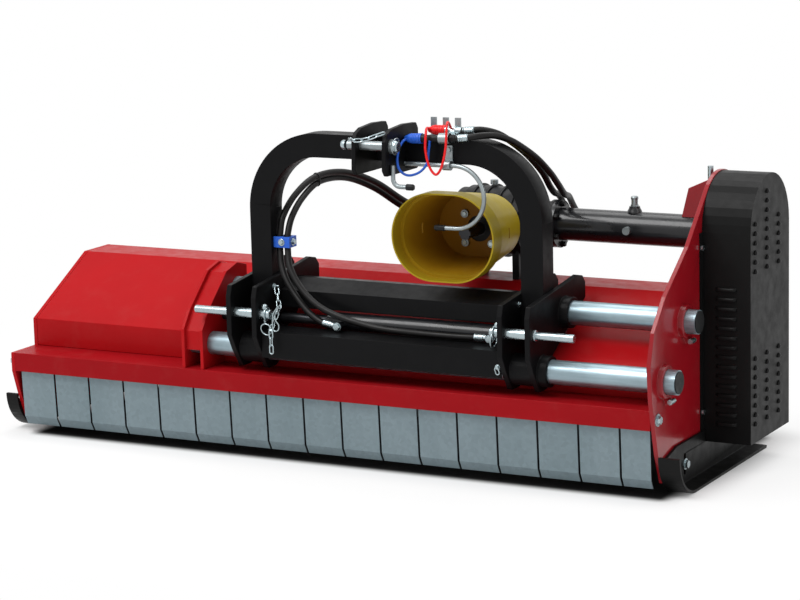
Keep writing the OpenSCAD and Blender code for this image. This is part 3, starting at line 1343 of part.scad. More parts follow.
module hanger_brackets() color("#aab4b8") place() {
    // Saddle and tabs of the couplers
    block([saddle_x0, arch_y, arch_top_z], [saddle_x0 + saddle_w, arch_rear_y, arch_top_z + saddle_t]);
    difference() {
        union() {
            block([saddle_x0 + saddle_w - lug_w, blue_y, arch_top_z], [saddle_x0 + saddle_w, arch_y + over, arch_top_z + saddle_t]);
            translate(blue_end) rotate([0, -blue_tilt, 0])
                bar_x(blue_ring_x - lug_w, blue_ring_x, 0, 0, coupler_r + belt_fit + blue_ring_wall);
        }
        translate(blue_end) rotate([0, -blue_tilt, 0]) bar_x(-blue_len, over, 0, 0, coupler_r + belt_fit);
    }
    for (i = [0:2]) translate([saddle_x0 + i * (saddle_w - tab_w) / 2, red_y + cap_r + belt_fit, arch_top_z])
        cube([tab_w, tab_t, tab_h]);
    // Strap with the eye that carries the hook
    difference() {
        union() {
            block([hook_strap_x - strap_w / 2, arch_y - strap_t, hook_z], [hook_strap_x + strap_w / 2, arch_y, hook_z + strap_h]);
            bar_x(hook_strap_x - strap_w / 2, hook_strap_x + strap_w / 2, hook_y, hook_z, hook_eye_r);
            bar_y(hook_strap_x, arch_y - strap_t - strap_bolt_h, arch_y, hook_z + strap_h - strap_w / 2, strap_bolt_r);
        }
        bar_x(hook_strap_x - strap_w, hook_strap_x + strap_w, hook_y, hook_z, hook_r + run_fit);
    }
    // Fixed hook below the right ear
    bar_z(jay_x, jay_y, ear_low_z - jay_h + jay_bend_r, ear_low_z + jay_h, hook_r);
    rod_arc([jay_x + jay_bend_r, ear_low_z - jay_h + jay_bend_r], jay_y, hook_r, jay_bend_r, 180, 90);
    bar_x(jay_x + jay_bend_r, jay_x + jay_bend_r + jay_len, jay_y, ear_low_z - jay_h, hook_r);
}

module shaft_hook() color("#aab4b8") place() {
    bar_x(right_ear_x, hook_bend_x, hook_y, hook_z, hook_r);
    rod_arc([hook_bend_x, hook_z - hook_bend_r], hook_y, hook_r, hook_bend_r, -90, 180);
    bar_x(hook_bend_x - hook_tail, hook_bend_x, hook_y, hook_z - 2 * hook_bend_r, hook_r);
}

for (i = [0:flap_count - 1]) flap(i);
hood();
front_beam();
left_side_plate();
right_side_plate();
left_bar_bracket();
slide_bars();
bar_end_caps();
flap_rod();
skids();
roller_arms();
rotor_bearings();
drive_belts();
belt_cover();
deck_bolts();
gearbox_housing();
pto_guard();
transmission_tube();
gearbox_fittings();
cylinder_rod();
rotor_drum();
flails();
flail_bolts();
rotor_pulley();
rear_roller();
cross_shaft();
drive_pulley();
pto_shaft();
arch();
carriage_beams();
left_hitch_bracket();
right_hitch_bracket();
top_link_bracket();
top_link_pin();
lower_link_pins();
retainer_chains();
cylinder_barrel();
hose_left();
hose_right();
hanger_brackets();
blue_coupler();
red_coupler();
shaft_hook();
hose_clamp();
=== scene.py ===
import bpy
import bmesh
import math
from mathutils import Matrix, Vector


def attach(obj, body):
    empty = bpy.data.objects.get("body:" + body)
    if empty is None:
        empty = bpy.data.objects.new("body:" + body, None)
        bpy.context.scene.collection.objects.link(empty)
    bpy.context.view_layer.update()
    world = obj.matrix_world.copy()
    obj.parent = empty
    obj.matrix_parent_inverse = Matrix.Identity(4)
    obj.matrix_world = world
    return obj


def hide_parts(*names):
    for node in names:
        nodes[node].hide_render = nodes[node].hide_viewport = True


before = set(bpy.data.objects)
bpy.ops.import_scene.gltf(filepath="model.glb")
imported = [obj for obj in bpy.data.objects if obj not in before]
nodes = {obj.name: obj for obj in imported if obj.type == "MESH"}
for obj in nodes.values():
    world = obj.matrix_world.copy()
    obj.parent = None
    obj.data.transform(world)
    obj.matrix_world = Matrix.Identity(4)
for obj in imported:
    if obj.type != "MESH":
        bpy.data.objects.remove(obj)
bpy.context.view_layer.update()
scene = bpy.context.scene

# Places are written in the machine's drawing frame, in millimetres: zero is the middle of the flap row, the lip's
# face and the ground
SHIFT = (29.5, 422.5, 0.0)


def at(x, y, z):
    return Vector(((x - SHIFT[0]) / 1000, (y - SHIFT[1]) / 1000, (z - SHIFT[2]) / 1000))


# Camera, found from the photo: its angles in radians, its place, and its focal length in pixels
AZ, EL, ROLL = 0.4924, 0.1896, -0.0257
CAMERA_AT = (3672.14, -6366.05, 1866.05)
FOCAL_PX, PHOTO_W_PX = 2769.5, 800
SENSOR_MM = 36
look = Vector((-math.sin(AZ) * math.cos(EL), math.cos(AZ) * math.cos(EL), -math.sin(EL)))
right = Vector((math.cos(AZ), math.sin(AZ), 0))
up = right.cross(look)
cam_x = math.cos(ROLL) * right + math.sin(ROLL) * up
cam_y = -math.sin(ROLL) * right + math.cos(ROLL) * up
cam_data = bpy.data.cameras.new("camera")
cam_data.sensor_fit = "HORIZONTAL"
cam_data.sensor_width = SENSOR_MM
cam_data.lens = SENSOR_MM * FOCAL_PX / PHOTO_W_PX
cam_data.clip_end = 200
camera = bpy.data.objects.new("camera", cam_data)
scene.collection.objects.link(camera)
turned = Matrix((cam_x, cam_y, -look)).transposed().to_4x4()
camera.matrix_world = Matrix.Translation(at(*CAMERA_AT)) @ turned
scene.camera = camera


# Small helpers
def linear(r, g, b):
    """A display colour, 0 to 255, as the linear colour that a shader takes."""
    shares = [c / 255 for c in (r, g, b)]
    return tuple(c / 12.92 if c <= 0.04045 else ((c + 0.055) / 1.055) ** 2.4 for c in shares) + (1,)


def link(obj, body):
    if obj.name not in scene.collection.objects:
        scene.collection.objects.link(obj)
    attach(obj, body)
    return obj


def mesh_piece(name, bm, mat, body, smooth=True, angle=35):
    bmesh.ops.recalc_face_normals(bm, faces=bm.faces)
    me = bpy.data.meshes.new(name)
    for f in bm.faces:
        f.smooth = smooth
    if smooth:
        for e in bm.edges:
            if len(e.link_faces) == 2 and e.calc_face_angle(0) > math.radians(angle):
                e.smooth = False
    bm.to_mesh(me)
    bm.free()
    me.materials.append(mat)
    return link(bpy.data.objects.new(name, me), body)


def smooth_path(pts, n):
    """A smooth curve through the points, with n steps from each to the next."""
    out = []
    for i in range(len(pts) - 1):
        a, b, c, d = pts[max(i - 1, 0)], pts[i], pts[i + 1], pts[min(i + 2, len(pts) - 1)]
        for k in range(n):
            t = k / n
            square = (2 * a - 5 * b + 4 * c - d) * t ** 2
            cube = (3 * b - a - 3 * c + d) * t ** 3
            out.append(0.5 * (2 * b + (c - a) * t + square + cube))
    return out + [pts[-1]]


def tube(name, pts, r, mat, body, sides=3, cyclic=False):
    cu = bpy.data.curves.new(name, "CURVE")
    cu.dimensions = "3D"
    cu.bevel_depth = r
    cu.bevel_resolution = sides
    cu.use_fill_caps = not cyclic
    sp = cu.splines.new("POLY")
    sp.points.add(len(pts) - 1)
    for p, q in zip(sp.points, pts):
        p.co = (*q, 1)
    sp.use_cyclic_u = cyclic
    sp.use_smooth = True
    cu.materials.append(mat)
    return link(bpy.data.objects.new(name, cu), body)


def around(u, v, r, k, n):
    """Step k of n round a circle of radius r in the plane of u and v."""
    return r * (math.cos(2 * math.pi * k / n) * u + math.sin(2 * math.pi * k / n) * v)


def axes_of(direction):
    w = Vector(direction).normalized()
    u = w.cross(Vector((0, 0, 1)) if abs(w.z) < 0.9 else Vector((1, 0, 0))).normalized()
    return u, w.cross(u), w


def add_lathe(bm, base, direction, profile, segs=32, closed=False):
    """Adds a turned shape: profile is (radius, distance along direction), in metres."""
    u, v, w = axes_of(direction)
    rings = []
    for r, t in profile:
        c = base + w * t
        if r < 1e-7:
            rings.append([bm.verts.new(c)])
        else:
            rings.append([bm.verts.new(c + around(u, v, r, k, segs)) for k in range(segs)])
    pairs = list(zip(rings[:-1], rings[1:])) + ([(rings[-1], rings[0])] if closed else [])
    for a, b in pairs:
        for k in range(segs):
            n = (k + 1) % segs
            if len(a) == 1 and len(b) == 1:
                continue
            if len(a) == 1:
                bm.faces.new((a[0], b[k], b[n]))
            elif len(b) == 1:
                bm.faces.new((a[k], b[0], a[n]))
            else:
                bm.faces.new((a[k], b[k], b[n], a[n]))


def add_bolt(bm, base, direction, r_head, h_head, r_washer=0.0, t_washer=0.0):
    """Adds a hexagon bolt head with its washer, standing on a face."""
    if r_washer:
        add_lathe(bm, base, direction, [(0, 0), (r_washer, 0), (r_washer, t_washer * 0.8), (r_washer * 0.96, t_washer),
                                        (0, t_washer)], 28)
    w = Vector(direction).normalized()
    top = base + w * t_washer
    add_lathe(bm, top, direction, [(0, 0), (r_head, 0), (r_head, h_head * 0.8), (r_head * 0.86, h_head),
                                   (0, h_head)], 6)


def add_link(bm, centre, along, flat, r, end_r, half, segs=8):
    """Adds one oval chain link."""
    d = Vector(along).normalized()
    n = (Vector(flat) - d * Vector(flat).dot(d)).normalized()
    s = d.cross(n)
    path = [(s * math.cos(a) + d * math.sin(a)) * end_r + d * half for a in [math.pi * k / 8 for k in range(9)]]
    path += [(-s * math.cos(a) - d * math.sin(a)) * end_r - d * half for a in [math.pi * k / 8 for k in range(9)]]
    rings = []
    for i, p in enumerate(path):
        t = (path[(i + 1) % len(path)] - path[i - 1]).normalized()
        o = t.cross(n)
        rings.append([bm.verts.new(centre + p + around(n, o, r, k, segs)) for k in range(segs)])
    for i, a in enumerate(rings):
        b = rings[(i + 1) % len(rings)]
        for k in range(segs):
            bm.faces.new((a[k], b[k], b[(k + 1) % segs], a[(k + 1) % segs]))


def chain(name, pts, mat, body, r=0.0018, end_r=0.0055, half=0.007):
    """A hanging chain whose links follow the points."""
    pitch = 2 * (half + end_r - r)
    path = smooth_path(pts, 24)
    knots, run = [path[0]], 0.0
    for a, b in zip(path[:-1], path[1:]):
        run += (b - a).length
        if run >= pitch:
            knots.append(b)
            run = 0.0
    bm = bmesh.new()
    for i, (a, b) in enumerate(zip(knots[:-1], knots[1:])):
        d = b - a
        u, v, _ = axes_of(d)
        add_link(bm, (a + b) / 2, d, u + v if i % 2 else u - v, r, end_r, half)
    return mesh_piece(name, bm, mat, body)


def edge_soften(name, width, limit=40, flat_faces=False):
    """Rounds the edges of a CAD node that turn by more than limit degrees, for the light to catch."""
    o = nodes[name]
    w = o.modifiers.new("join", "WELD")
    w.merge_threshold = 0.00002
    b = o.modifiers.new("edges", "BEVEL")
    b.width = width
    b.segments = 2
    b.limit_method = "ANGLE"
    b.angle_limit = math.radians(limit)
    b.harden_normals = not flat_faces
    if flat_faces:
        n = o.modifiers.new("even", "WEIGHTED_NORMAL")
        n.mode = "FACE_AREA"
        n.weight = 100


# Materials
class Mat:
    """A material's node tree, with short ways to add nodes."""

    def __init__(self, name):
        self.mat = bpy.data.materials.new(name)
        self.mat.use_nodes = True
        self.nt = self.mat.node_tree
        self.bsdf = self.nt.nodes["Principled BSDF"]
        self.coord = self.nt.nodes.new("ShaderNodeTexCoord").outputs["Object"]

    def set(self, **kw):
        for k, v in kw.items():
            self.bsdf.inputs[k.replace("_", " ")].default_value = v
        return self

    def to(self, src, socket):
        self.nt.links.new(src, self.bsdf.inputs[socket])

    def noise(self, scale, detail=4, rough=0.55, stretch=None):
        src = self.coord
        if stretch:
            m = self.nt.nodes.new("ShaderNodeMapping")
            m.inputs["Scale"].default_value = stretch
            self.nt.links.new(src, m.inputs["Vector"])
            src = m.outputs["Vector"]
        n = self.nt.nodes.new("ShaderNodeTexNoise")
        n.inputs["Scale"].default_value = scale
        n.inputs["Detail"].default_value = detail
        n.inputs["Roughness"].default_value = rough
        self.nt.links.new(src, n.inputs["Vector"])
        return n.outputs["Fac"]

    def cells(self, scale):
        n = self.nt.nodes.new("ShaderNodeTexVoronoi")
        n.inputs["Scale"].default_value = scale
        self.nt.links.new(self.coord, n.inputs["Vector"])
        return n

    def ramp(self, src, stops):
        r = self.nt.nodes.new("ShaderNodeValToRGB")
        els = r.color_ramp.elements
        els[0].position, els[0].color = stops[0]
        els[1].position, els[1].color = stops[-1]
        for p, c in stops[1:-1]:
            els.new(p).color = c
        self.nt.links.new(src, r.inputs["Fac"])
        return r.outputs["Color"]

    def math(self, op, a, b):
        n = self.nt.nodes.new("ShaderNodeMath")
        n.operation = op
        for i, v in enumerate((a, b)):
            if isinstance(v, (int, float)):
                n.inputs[i].default_value = v
            else:
                self.nt.links.new(v, n.inputs[i])
        return n.outputs[0]

    def span(self, src, lo, hi):
        n = self.nt.nodes.new("ShaderNodeMapRange")
        n.inputs["From Min"].default_value = 0.3
        n.inputs["From Max"].default_value = 0.7
        n.inputs["To Min"].default_value = lo
        n.inputs["To Max"].default_value = hi
        self.nt.links.new(src, n.inputs["Value"])
        return n.outputs["Result"]

    def mix(self, fac, a, b, mode="MIX"):
        n = self.nt.nodes.new("ShaderNodeMix")
        n.data_type = "RGBA"
        n.blend_type = mode
        for s, v in (("Factor", fac), ("A", a), ("B", b)):
            kind = "VALUE" if s == "Factor" else "RGBA"
            i = [q for q in n.inputs if q.name == s and q.type == kind][0]
            if isinstance(v, (tuple, float, int)):
                i.default_value = v
            else:
                self.nt.links.new(v, i)
        return [q for q in n.outputs if q.type == "RGBA"][0]

    def bump(self, src, strength, distance=0.001):
        n = self.nt.nodes.new("ShaderNodeBump")
        n.inputs["Strength"].default_value = strength
        n.inputs["Distance"].default_value = distance
        self.nt.links.new(src, n.inputs["Height"])
        self.to(n.outputs["Normal"], "Normal")

    def axis(self, name):
        s = self.nt.nodes.new("ShaderNodeSeparateXYZ")
        self.nt.links.new(self.coord, s.inputs[0])
        return s.outputs[name]


def shade(c, f):
    return tuple(min(1, v * f) for v in c[:3]) + (1,)


def paint(name, colour, rough, coat, spec=0.5, dust=0.04, dust_colour=(0.30, 0.26, 0.22, 1)):
    """Sprayed paint with a slight orange peel, soft cloudiness and a little dust in patches."""
    m = Mat(name)
    m.set(Coat_Weight=coat, Coat_Roughness=0.08, Specular_IOR_Level=spec)
    cloud = m.ramp(m.noise(2.3, 5), [(0.3, shade(colour, 0.90)), (0.7, shade(colour, 1.08))])
    grime = m.ramp(m.noise(14, 8, 0.65), [(0.52, (0, 0, 0, 1)), (0.82, (dust, dust, dust, 1))])
    m.to(m.mix(grime, cloud, dust_colour), "Base Color")
    m.to(m.span(m.noise(30, 6, 0.6), rough * 0.8, rough * 1.25), "Roughness")
    m.bump(m.noise(420, 2, 0.5), 0.05, 0.0004)
    return m.mat


def steel(name, colour, rough, grain=(1, 1, 1), metallic=1.0, contrast=0.1):
    """Plated or machined steel, with fine scratches along the grain and soft blotches."""
    m = Mat(name)
    m.set(Metallic=metallic)
    base = m.ramp(m.noise(9, 7, 0.6), [(0.3, shade(colour, 1 - contrast)), (0.7, shade(colour, 1 + contrast))])
    streak = m.ramp(m.noise(90, 4, 0.6, grain), [(0.3, (0.86, 0.86, 0.86, 1)), (0.7, (1, 1, 1, 1))])
    m.to(m.mix(1.0, base, streak, "MULTIPLY"), "Base Color")
    m.to(m.span(m.noise(60, 5, 0.6, grain), rough * 0.75, rough * 1.3), "Roughness")
    m.bump(m.noise(160, 3, 0.5, grain), 0.06, 0.0004)
    return m.mat


RED = linear(164, 17, 22)
BLACK = linear(15, 15, 16)
red_hood = paint("red_hood_paint", RED, 0.36, 0.03, 0.06)
# The next two are the hood's red painted darker: painted shade on the front lip and on the right plate; the plate's
# higher gloss is its own
lip_red_shaded = paint("lip_paint_shaded", linear(144, 15, 22), 0.38, 0.02, 0.05)
plate_red_shaded = paint("plate_paint_shaded", linear(142, 14, 25), 0.22, 0.25, 0.2)
black_frame = paint("black_frame_paint", BLACK, 0.40, 0.02, 0.07, 0.04, (0.05, 0.05, 0.05, 1))
black_cast = paint("black_cast_paint", linear(18, 18, 19), 0.45, 0.03, 0.15, 0.05, (0.05, 0.05, 0.05, 1))
black_cover = paint("black_cover_paint", linear(19, 19, 19), 0.4, 0.02, 0.08, 0.04, (0.06, 0.06, 0.06, 1))
black_tube = paint("black_tube_paint", linear(20, 21, 24), 0.30, 0.25, 0.3, 0.03, (0.05, 0.05, 0.05, 1))
black_skid = paint("black_skid_paint", linear(14, 14, 14), 0.42, 0.03, 0.12, 0.06, (0.06, 0.055, 0.05, 1))
zinc_bar = steel("zinc_bar", linear(150, 169, 177), 0.38, (0.15, 3, 3), 0.9, 0.14)
zinc = steel("bright_zinc", linear(176, 190, 194), 0.26, (1, 1, 1), 0.95, 0.10)
dull_zinc = steel("dull_zinc", linear(150, 158, 160), 0.40, (1, 1, 1), 0.9, 0.12)
bare_steel = steel("bare_steel", linear(120, 122, 124), 0.38, (0.3, 2, 2), 1.0, 0.15)
dark_steel = steel("dark_steel", linear(52, 53, 56), 0.34, (0.15, 3, 3), 0.8, 0.12)
iron = steel("machined_iron", linear(96, 98, 100), 0.42, (3, 1, 1), 0.9, 0.15)


def galvanised():
    """Hot-dip sheet: grey crystals of slightly different brightness, soft streaks downwards, and side faces painted
    near black: painted shade in the gaps between flaps, partly the darker cut edge.
    """
    m = Mat("galvanised_sheet")
    m.set(Metallic=0.35, Specular_IOR_Level=0.2)
    base = linear(124, 139, 145)
    spangle = m.ramp(m.cells(95).outputs["Color"], [(0.1, shade(base, 0.93)), (0.9, shade(base, 1.06))])
    streak = m.ramp(m.noise(6, 6, 0.6, (1, 1, 0.25)), [(0.32, (0.86, 0.88, 0.88, 1)), (0.68, (1, 1, 1, 1))])
    # Faces that point across the flap row are painted near black: painted shade in the gaps between flaps, partly the
    # darker cut edge
    normal = m.nt.nodes.new("ShaderNodeSeparateXYZ")
    m.nt.links.new(m.coord.node.outputs["Normal"], normal.inputs[0])
    edge_gap_shade = m.math("GREATER_THAN", m.math("ABSOLUTE", normal.outputs["X"], 0.0), 0.8)
    face = m.mix(1.0, spangle, streak, "MULTIPLY")
    m.to(m.mix(edge_gap_shade, face, linear(26, 27, 28)), "Base Color")
    m.to(m.span(m.noise(40, 5, 0.6), 0.36, 0.52), "Roughness")
    m.bump(m.noise(220, 3, 0.5), 0.05, 0.0004)
    return m.mat


def rubber(name, colour):
    m = Mat(name)
    m.set(Specular_IOR_Level=0.2)
    base = m.ramp(m.noise(40, 6, 0.65), [(0.3, shade(colour, 0.8)), (0.75, shade(colour, 1.35))])
    m.to(base, "Base Color")
    m.to(m.span(m.noise(25, 4), 0.34, 0.52), "Roughness")
    m.bump(m.noise(500, 3, 0.6), 0.12, 0.0004)
    return m.mat


def moulded(name, colour, rough=0.4, spec=0.3):
    m = Mat(name)
    m.set(Specular_IOR_Level=spec)
    m.to(m.ramp(m.noise(35, 5, 0.6), [(0.3, shade(colour, 0.92)), (0.7, shade(colour, 1.08))]), "Base Color")
    m.to(m.span(m.noise(50, 4), rough * 0.8, rough * 1.25), "Roughness")
    m.bump(m.noise(700, 2, 0.5), 0.08, 0.0003)
    return m.mat


GUARD_X, GUARD_Z = 333, 633
GUARD_MOUTH_Y, GUARD_BACK_Y = 100, 325


def guard_plastic():
    """Yellow outside, and inside the same yellow painted darker and more amber towards the back as painted shade, told
    apart by which way the wall faces from the guard's axis.
    """
    m = Mat("guard_plastic")
    m.set(Specular_IOR_Level=0.1, Coat_Weight=0.03, Coat_Roughness=0.25)
    radial = m.nt.nodes.new("ShaderNodeVectorMath")
    radial.operation = "SUBTRACT"
    m.nt.links.new(m.coord, radial.inputs[0])
    radial.inputs[1].default_value = at(GUARD_X, 0, GUARD_Z)
    flat = m.nt.nodes.new("ShaderNodeVectorMath")
    flat.operation = "MULTIPLY"
    m.nt.links.new(radial.outputs[0], flat.inputs[0])
    flat.inputs[1].default_value = (1, 0, 1)
    dot = m.nt.nodes.new("ShaderNodeVectorMath")
    dot.operation = "DOT_PRODUCT"
    m.nt.links.new(flat.outputs[0], dot.inputs[0])
    m.nt.links.new(m.coord.node.outputs["Normal"], dot.inputs[1])
    inside = m.math("LESS_THAN", dot.outputs["Value"], 0.02)
    outer = m.ramp(m.noise(7, 5, 0.6), [(0.3, linear(160, 141, 24)), (0.7, linear(172, 152, 30))])
    # The inside is painted darker and browner from the mouth to the back: painted shade inside the guard
    depth = m.nt.nodes.new("ShaderNodeMapRange")
    m.nt.links.new(m.axis("Y"), depth.inputs["Value"])
    depth.inputs["From Min"].default_value = at(0, GUARD_MOUTH_Y, 0).y
    depth.inputs["From Max"].default_value = at(0, GUARD_BACK_Y, 0).y
    inner_shaded = m.ramp(depth.outputs["Result"], [(0.0, linear(158, 136, 28)), (0.35, linear(158, 118, 22)),
                                             (1.0, linear(136, 92, 16))])
    m.to(m.mix(inside, outer, inner_shaded), "Base Color")
    m.to(m.span(m.noise(24, 4), 0.30, 0.46), "Roughness")
    m.bump(m.noise(90, 4, 0.6), 0.06, 0.0005)
    return m.mat


galv = galvanised()
hose_rubber = rubber("hose_rubber", linear(17, 16, 16))
belt_rubber = rubber("belt_rubber", linear(24, 24, 24))
black_plastic = moulded("black_plastic", linear(20, 21, 22), 0.42, 0.2)
blue_plastic = moulded("blue_plastic", linear(36, 92, 196), 0.38)
red_plastic = moulded("red_plastic", linear(226, 26, 28), 0.38)
yellow_guard = guard_plastic()

LOOK = {
    "hood": red_hood, "front_beam": lip_red_shaded, "left_side_plate": red_hood, "right_side_plate": plate_red_shaded,
    "left_bar_bracket": red_hood, "slide_bars": zinc_bar, "bar_end_caps": black_plastic, "flap_rod": zinc,
    "skids": black_skid, "roller_arms": black_frame, "rotor_bearings": black_cast, "drive_belts": belt_rubber,
    "belt_cover": black_cover,
    "deck_bolts": zinc, "gearbox_housing": black_cast, "pto_guard": yellow_guard, "transmission_tube": black_tube,
    "gearbox_fittings": dull_zinc, "cylinder_rod": dark_steel, "rotor_drum": black_frame, "flails": bare_steel,
    "flail_bolts": dull_zinc, "rotor_pulley": iron, "rear_roller": black_skid, "cross_shaft": bare_steel,
    "drive_pulley": iron, "pto_shaft": dark_steel, "arch": black_frame, "carriage_beams": black_frame,
    "left_hitch_bracket": black_frame, "right_hitch_bracket": black_frame, "top_link_bracket": black_frame,
    "top_link_pin": dull_zinc, "lower_link_pins": zinc, "retainer_chains": zinc, "cylinder_barrel": black_tube,
    "hanger_brackets": dull_zinc, "shaft_hook": dull_zinc, "hose_clamp": blue_plastic,
    "blue_coupler": blue_plastic, "red_coupler": red_plastic, "hose_left": hose_rubber, "hose_right": hose_rubber,
}
for name, obj in nodes.items():
    mat = galv if name.startswith("flap_") and name != "flap_rod" else LOOK[name]
    obj.data.materials.clear()
    obj.data.materials.append(mat)

edge_soften("hood", 0.0025, 10, True)
for name, width in (("front_beam", 0.0020), ("left_side_plate", 0.0015), ("right_side_plate", 0.0015),
                    ("left_bar_bracket", 0.0012), ("arch", 0.0055), ("carriage_beams", 0.0022),
                    ("left_hitch_bracket", 0.0020), ("right_hitch_bracket", 0.0020), ("top_link_bracket", 0.0020),
                    ("skids", 0.0015), ("hose_clamp", 0.0012), ("gearbox_housing", 0.0015)):
    edge_soften(name, width)


# Hoses
HOSE_R = 0.009
LEFT_ROUTE = [
    (4, 75, 378), (-25, 76, 383), (-70, 80, 408), (-115, 90, 448), (-150, 100, 490), (-172, 114, 530),
    (-183, 127, 570),
    (-184, 130, 592), (-184, 133, 615), (-183, 150, 660), (-176, 210, 712), (-160, 300, 750), (-130, 410, 748),
    (-88, 510, 708), (-40, 590, 645), (20, 630, 605), (100, 655, 585), (200, 660, 580), (300, 660, 580),
    (380, 655, 581), (434, 637, 590), (466, 604, 612), (482, 568, 644), (490, 530, 680), (498, 488, 704),
    (508, 440, 717), (520, 385, 744), (524, 330, 790), (510, 264, 846), (487, 206, 890), (472, 180, 908),
    (455, 160, 918), (434, 145, 923), (411, 136, 922), (386, 133, 920),
]
RIGHT_ROUTE = [
    (466, 75, 378), (420, 75, 376), (350, 75, 375), (250, 75, 376), (150, 76, 380), (70, 77, 393), (15, 80, 406),
    (-35, 84, 424), (-80, 90, 452), (-118, 98, 490), (-145, 110, 530), (-157, 125, 568), (-160, 130, 592),
    (-161, 135, 615), (-162, 163, 658), (-164, 230, 702), (-160, 318, 733), (-140, 428, 729), (-105, 527, 689),
    (-58, 606, 627), (0, 655, 580), (80, 680, 562), (180, 690, 556), (300, 690, 556), (400, 686, 560),
    (452, 674, 568), (487, 648, 586), (505, 613, 612), (512, 578, 641), (516, 542, 670), (523, 504, 697),
    (534, 464, 707), (546, 418, 721), (555, 365, 752), (556, 310, 793), (543, 252, 840), (515, 197, 882),
    (496, 163, 901), (479, 134, 911), (460, 113, 913), (439, 98, 911), (416, 88.5, 908), (391, 85, 906),
    (335, 85, 904),
]


left_pts = smooth_path([at(*p) for p in LEFT_ROUTE], 8)
right_pts = smooth_path([at(*p) for p in RIGHT_ROUTE], 8)
left_hose = tube("hose_left_cover", left_pts, HOSE_R, hose_rubber, "carriage", 6)
right_hose = tube("hose_right_cover", right_pts, HOSE_R, hose_rubber, "carriage", 6)
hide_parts("hose_left")
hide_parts("hose_right")


# Couplers with their dust caps and straps
RED_STRAP = [
    (292, 122, 924), (299, 100, 929), (307, 78, 928), (312, 64, 912), (311, 62, 880), (316, 62, 848), (327, 62, 822),
    (341, 62, 811), (354, 62, 824), (364, 62, 850), (371, 62, 882), (374, 62, 915), (372, 70, 939), (366, 86, 947),
    (360, 106, 943), (356, 124, 928),
]
BLUE_STRAP = [
    (246.1, 78.0, 900.0), (245.0, 58.0, 894.6), (244.8, 38.0, 877.1), (245.7, 25.0, 850.7), (252.6, 25.0, 824.2),
    (269.4, 40.0, 808.8), (293.1, 58.0, 815.3), (308.7, 73.0, 836.9), (314.3, 74.0, 868.4), (316.0, 80.0, 901.0),
]


def coupler(name, end, direction, length, cap_len, cap_mat, strap, body_mat):
    """A quick coupler seen from its hose end: hexagon, sleeve, locking ring and a ribbed cap with a strap."""
    d = Vector(direction).normalized()
    bm = bmesh.new()
    body = length - cap_len
    add_lathe(bm, end, d, [(0, 0), (0.0095, 0), (0.0105, 0.001), (0.0105, 0.013), (0.009, 0.0135), (0.009, 0.017),
                           (0, 0.017)], 32)
    add_lathe(bm, end + d * 0.017, d, [(0, 0), (0.012, 0), (0.012, 0.012), (0, 0.012)], 6)
    add_lathe(bm, end + d * 0.029, d, [(0, 0), (0.0095, 0), (0.0095, body - 0.047), (0.0118, body - 0.046),
                                       (0.0118, body - 0.034), (0.0105, body - 0.033), (0.0105, body - 0.029),
                                       (0, body - 0.029)], 32)
    metal = mesh_piece(name + "_body", bm, body_mat, "carriage")
    bm = bmesh.new()
    prof = [(0, 0.0), (0.0132, 0.0), (0.0139, 0.0012), (0.0139, 0.0055), (0.0126, 0.0062)]
    for i in range(4):
        t = 0.0085 + i * 0.005
        prof += [(0.0126, t), (0.0134, t + 0.0009), (0.0134, t + 0.0026), (0.0126, t + 0.0034)]
    prof += [(0.0122, cap_len - 0.014), (0.0098, cap_len - 0.009), (0.0078, cap_len - 0.003), (0.0062, cap_len),
             (0, cap_len)]
    add_lathe(bm, end + d * body, d, prof, 40)
    cap = mesh_piece(name + "_cap", bm, cap_mat, "carriage")
    strap_pts = smooth_path([at(*p) for p in strap], 8)
    loop = tube(name + "_strap", strap_pts, 0.0034, cap_mat, "carriage", 4)
    bm = bmesh.new()
    add_lathe(bm, end + d * (body - 0.006), d, [(0.0114, 0), (0.0138, 0), (0.0138, 0.005), (0.0114, 0.005)], 32, True)
    ring = mesh_piece(name + "_strap_ring", bm, cap_mat, "carriage")
    return [metal, cap, loop, ring]


# The blue coupler dips slightly towards its cap
TILT = math.radians(2)
red_set = coupler("red_coupler", at(385, 132.5, 920), (-1, 0, 0), 0.099, 0.046, red_plastic, RED_STRAP,
                  zinc)
blue_set = coupler("blue_coupler", at(391, 85, 906), (-math.cos(TILT), 0, -math.sin(TILT)), 0.152, 0.046,
                   blue_plastic, BLUE_STRAP, black_plastic)
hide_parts("red_coupler")
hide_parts("blue_coupler")
for o in red_set[1:]:
    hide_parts("red_coupler")
for o in blue_set[1:]:
    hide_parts("blue_coupler")


# Crimped ferrules, banjo bolts and ties of the hoses
def ferrule(bm, p, d, r=0.0105, length=0.034):
    prof = [(0, 0), (0.008, 0), (0.009, 0.002), (0.009, 0.006)]
    for i in range(5):
        t = 0.008 + i * 0.005
        prof += [(r, t), (r, t + 0.003), (r - 0.0009, t + 0.0036), (r - 0.0009, t + 0.0046)]
    prof += [(r, length), (0.0092, length + 0.0008), (0, length + 0.0008)]
    add_lathe(bm, p, d, prof, 32)


bm = bmesh.new()
ferrule(bm, at(12, 75, 378), (at(-25, 76, 383) - at(4, 75, 378)))
ferrule(bm, at(474, 75, 378), (-1, 0, 0))
ferrule(bm, left_pts[-1], left_pts[-9] - left_pts[-1])
ferrule(bm, right_pts[-9], right_pts[-17] - right_pts[-9])
mesh_piece("hose_ferrules", bm, zinc, "carriage")

bm = bmesh.new()
for x in (26.5, 488.5):
    add_lathe(bm, at(x, 64.2, 378), (0, -1, 0), [(0, 0), (0.0118, 0), (0.0118, 0.002), (0.0102, 0.0022),
                                                 (0, 0.0022)], 32)
    add_lathe(bm, at(x, 62.2, 378), (0, -1, 0), [(0, 0), (0.0102, 0), (0.0102, 0.006), (0.0088, 0.0075),
                                                 (0, 0.0075)], 6)
mesh_piece("banjo_bolts", bm, zinc, "carriage")


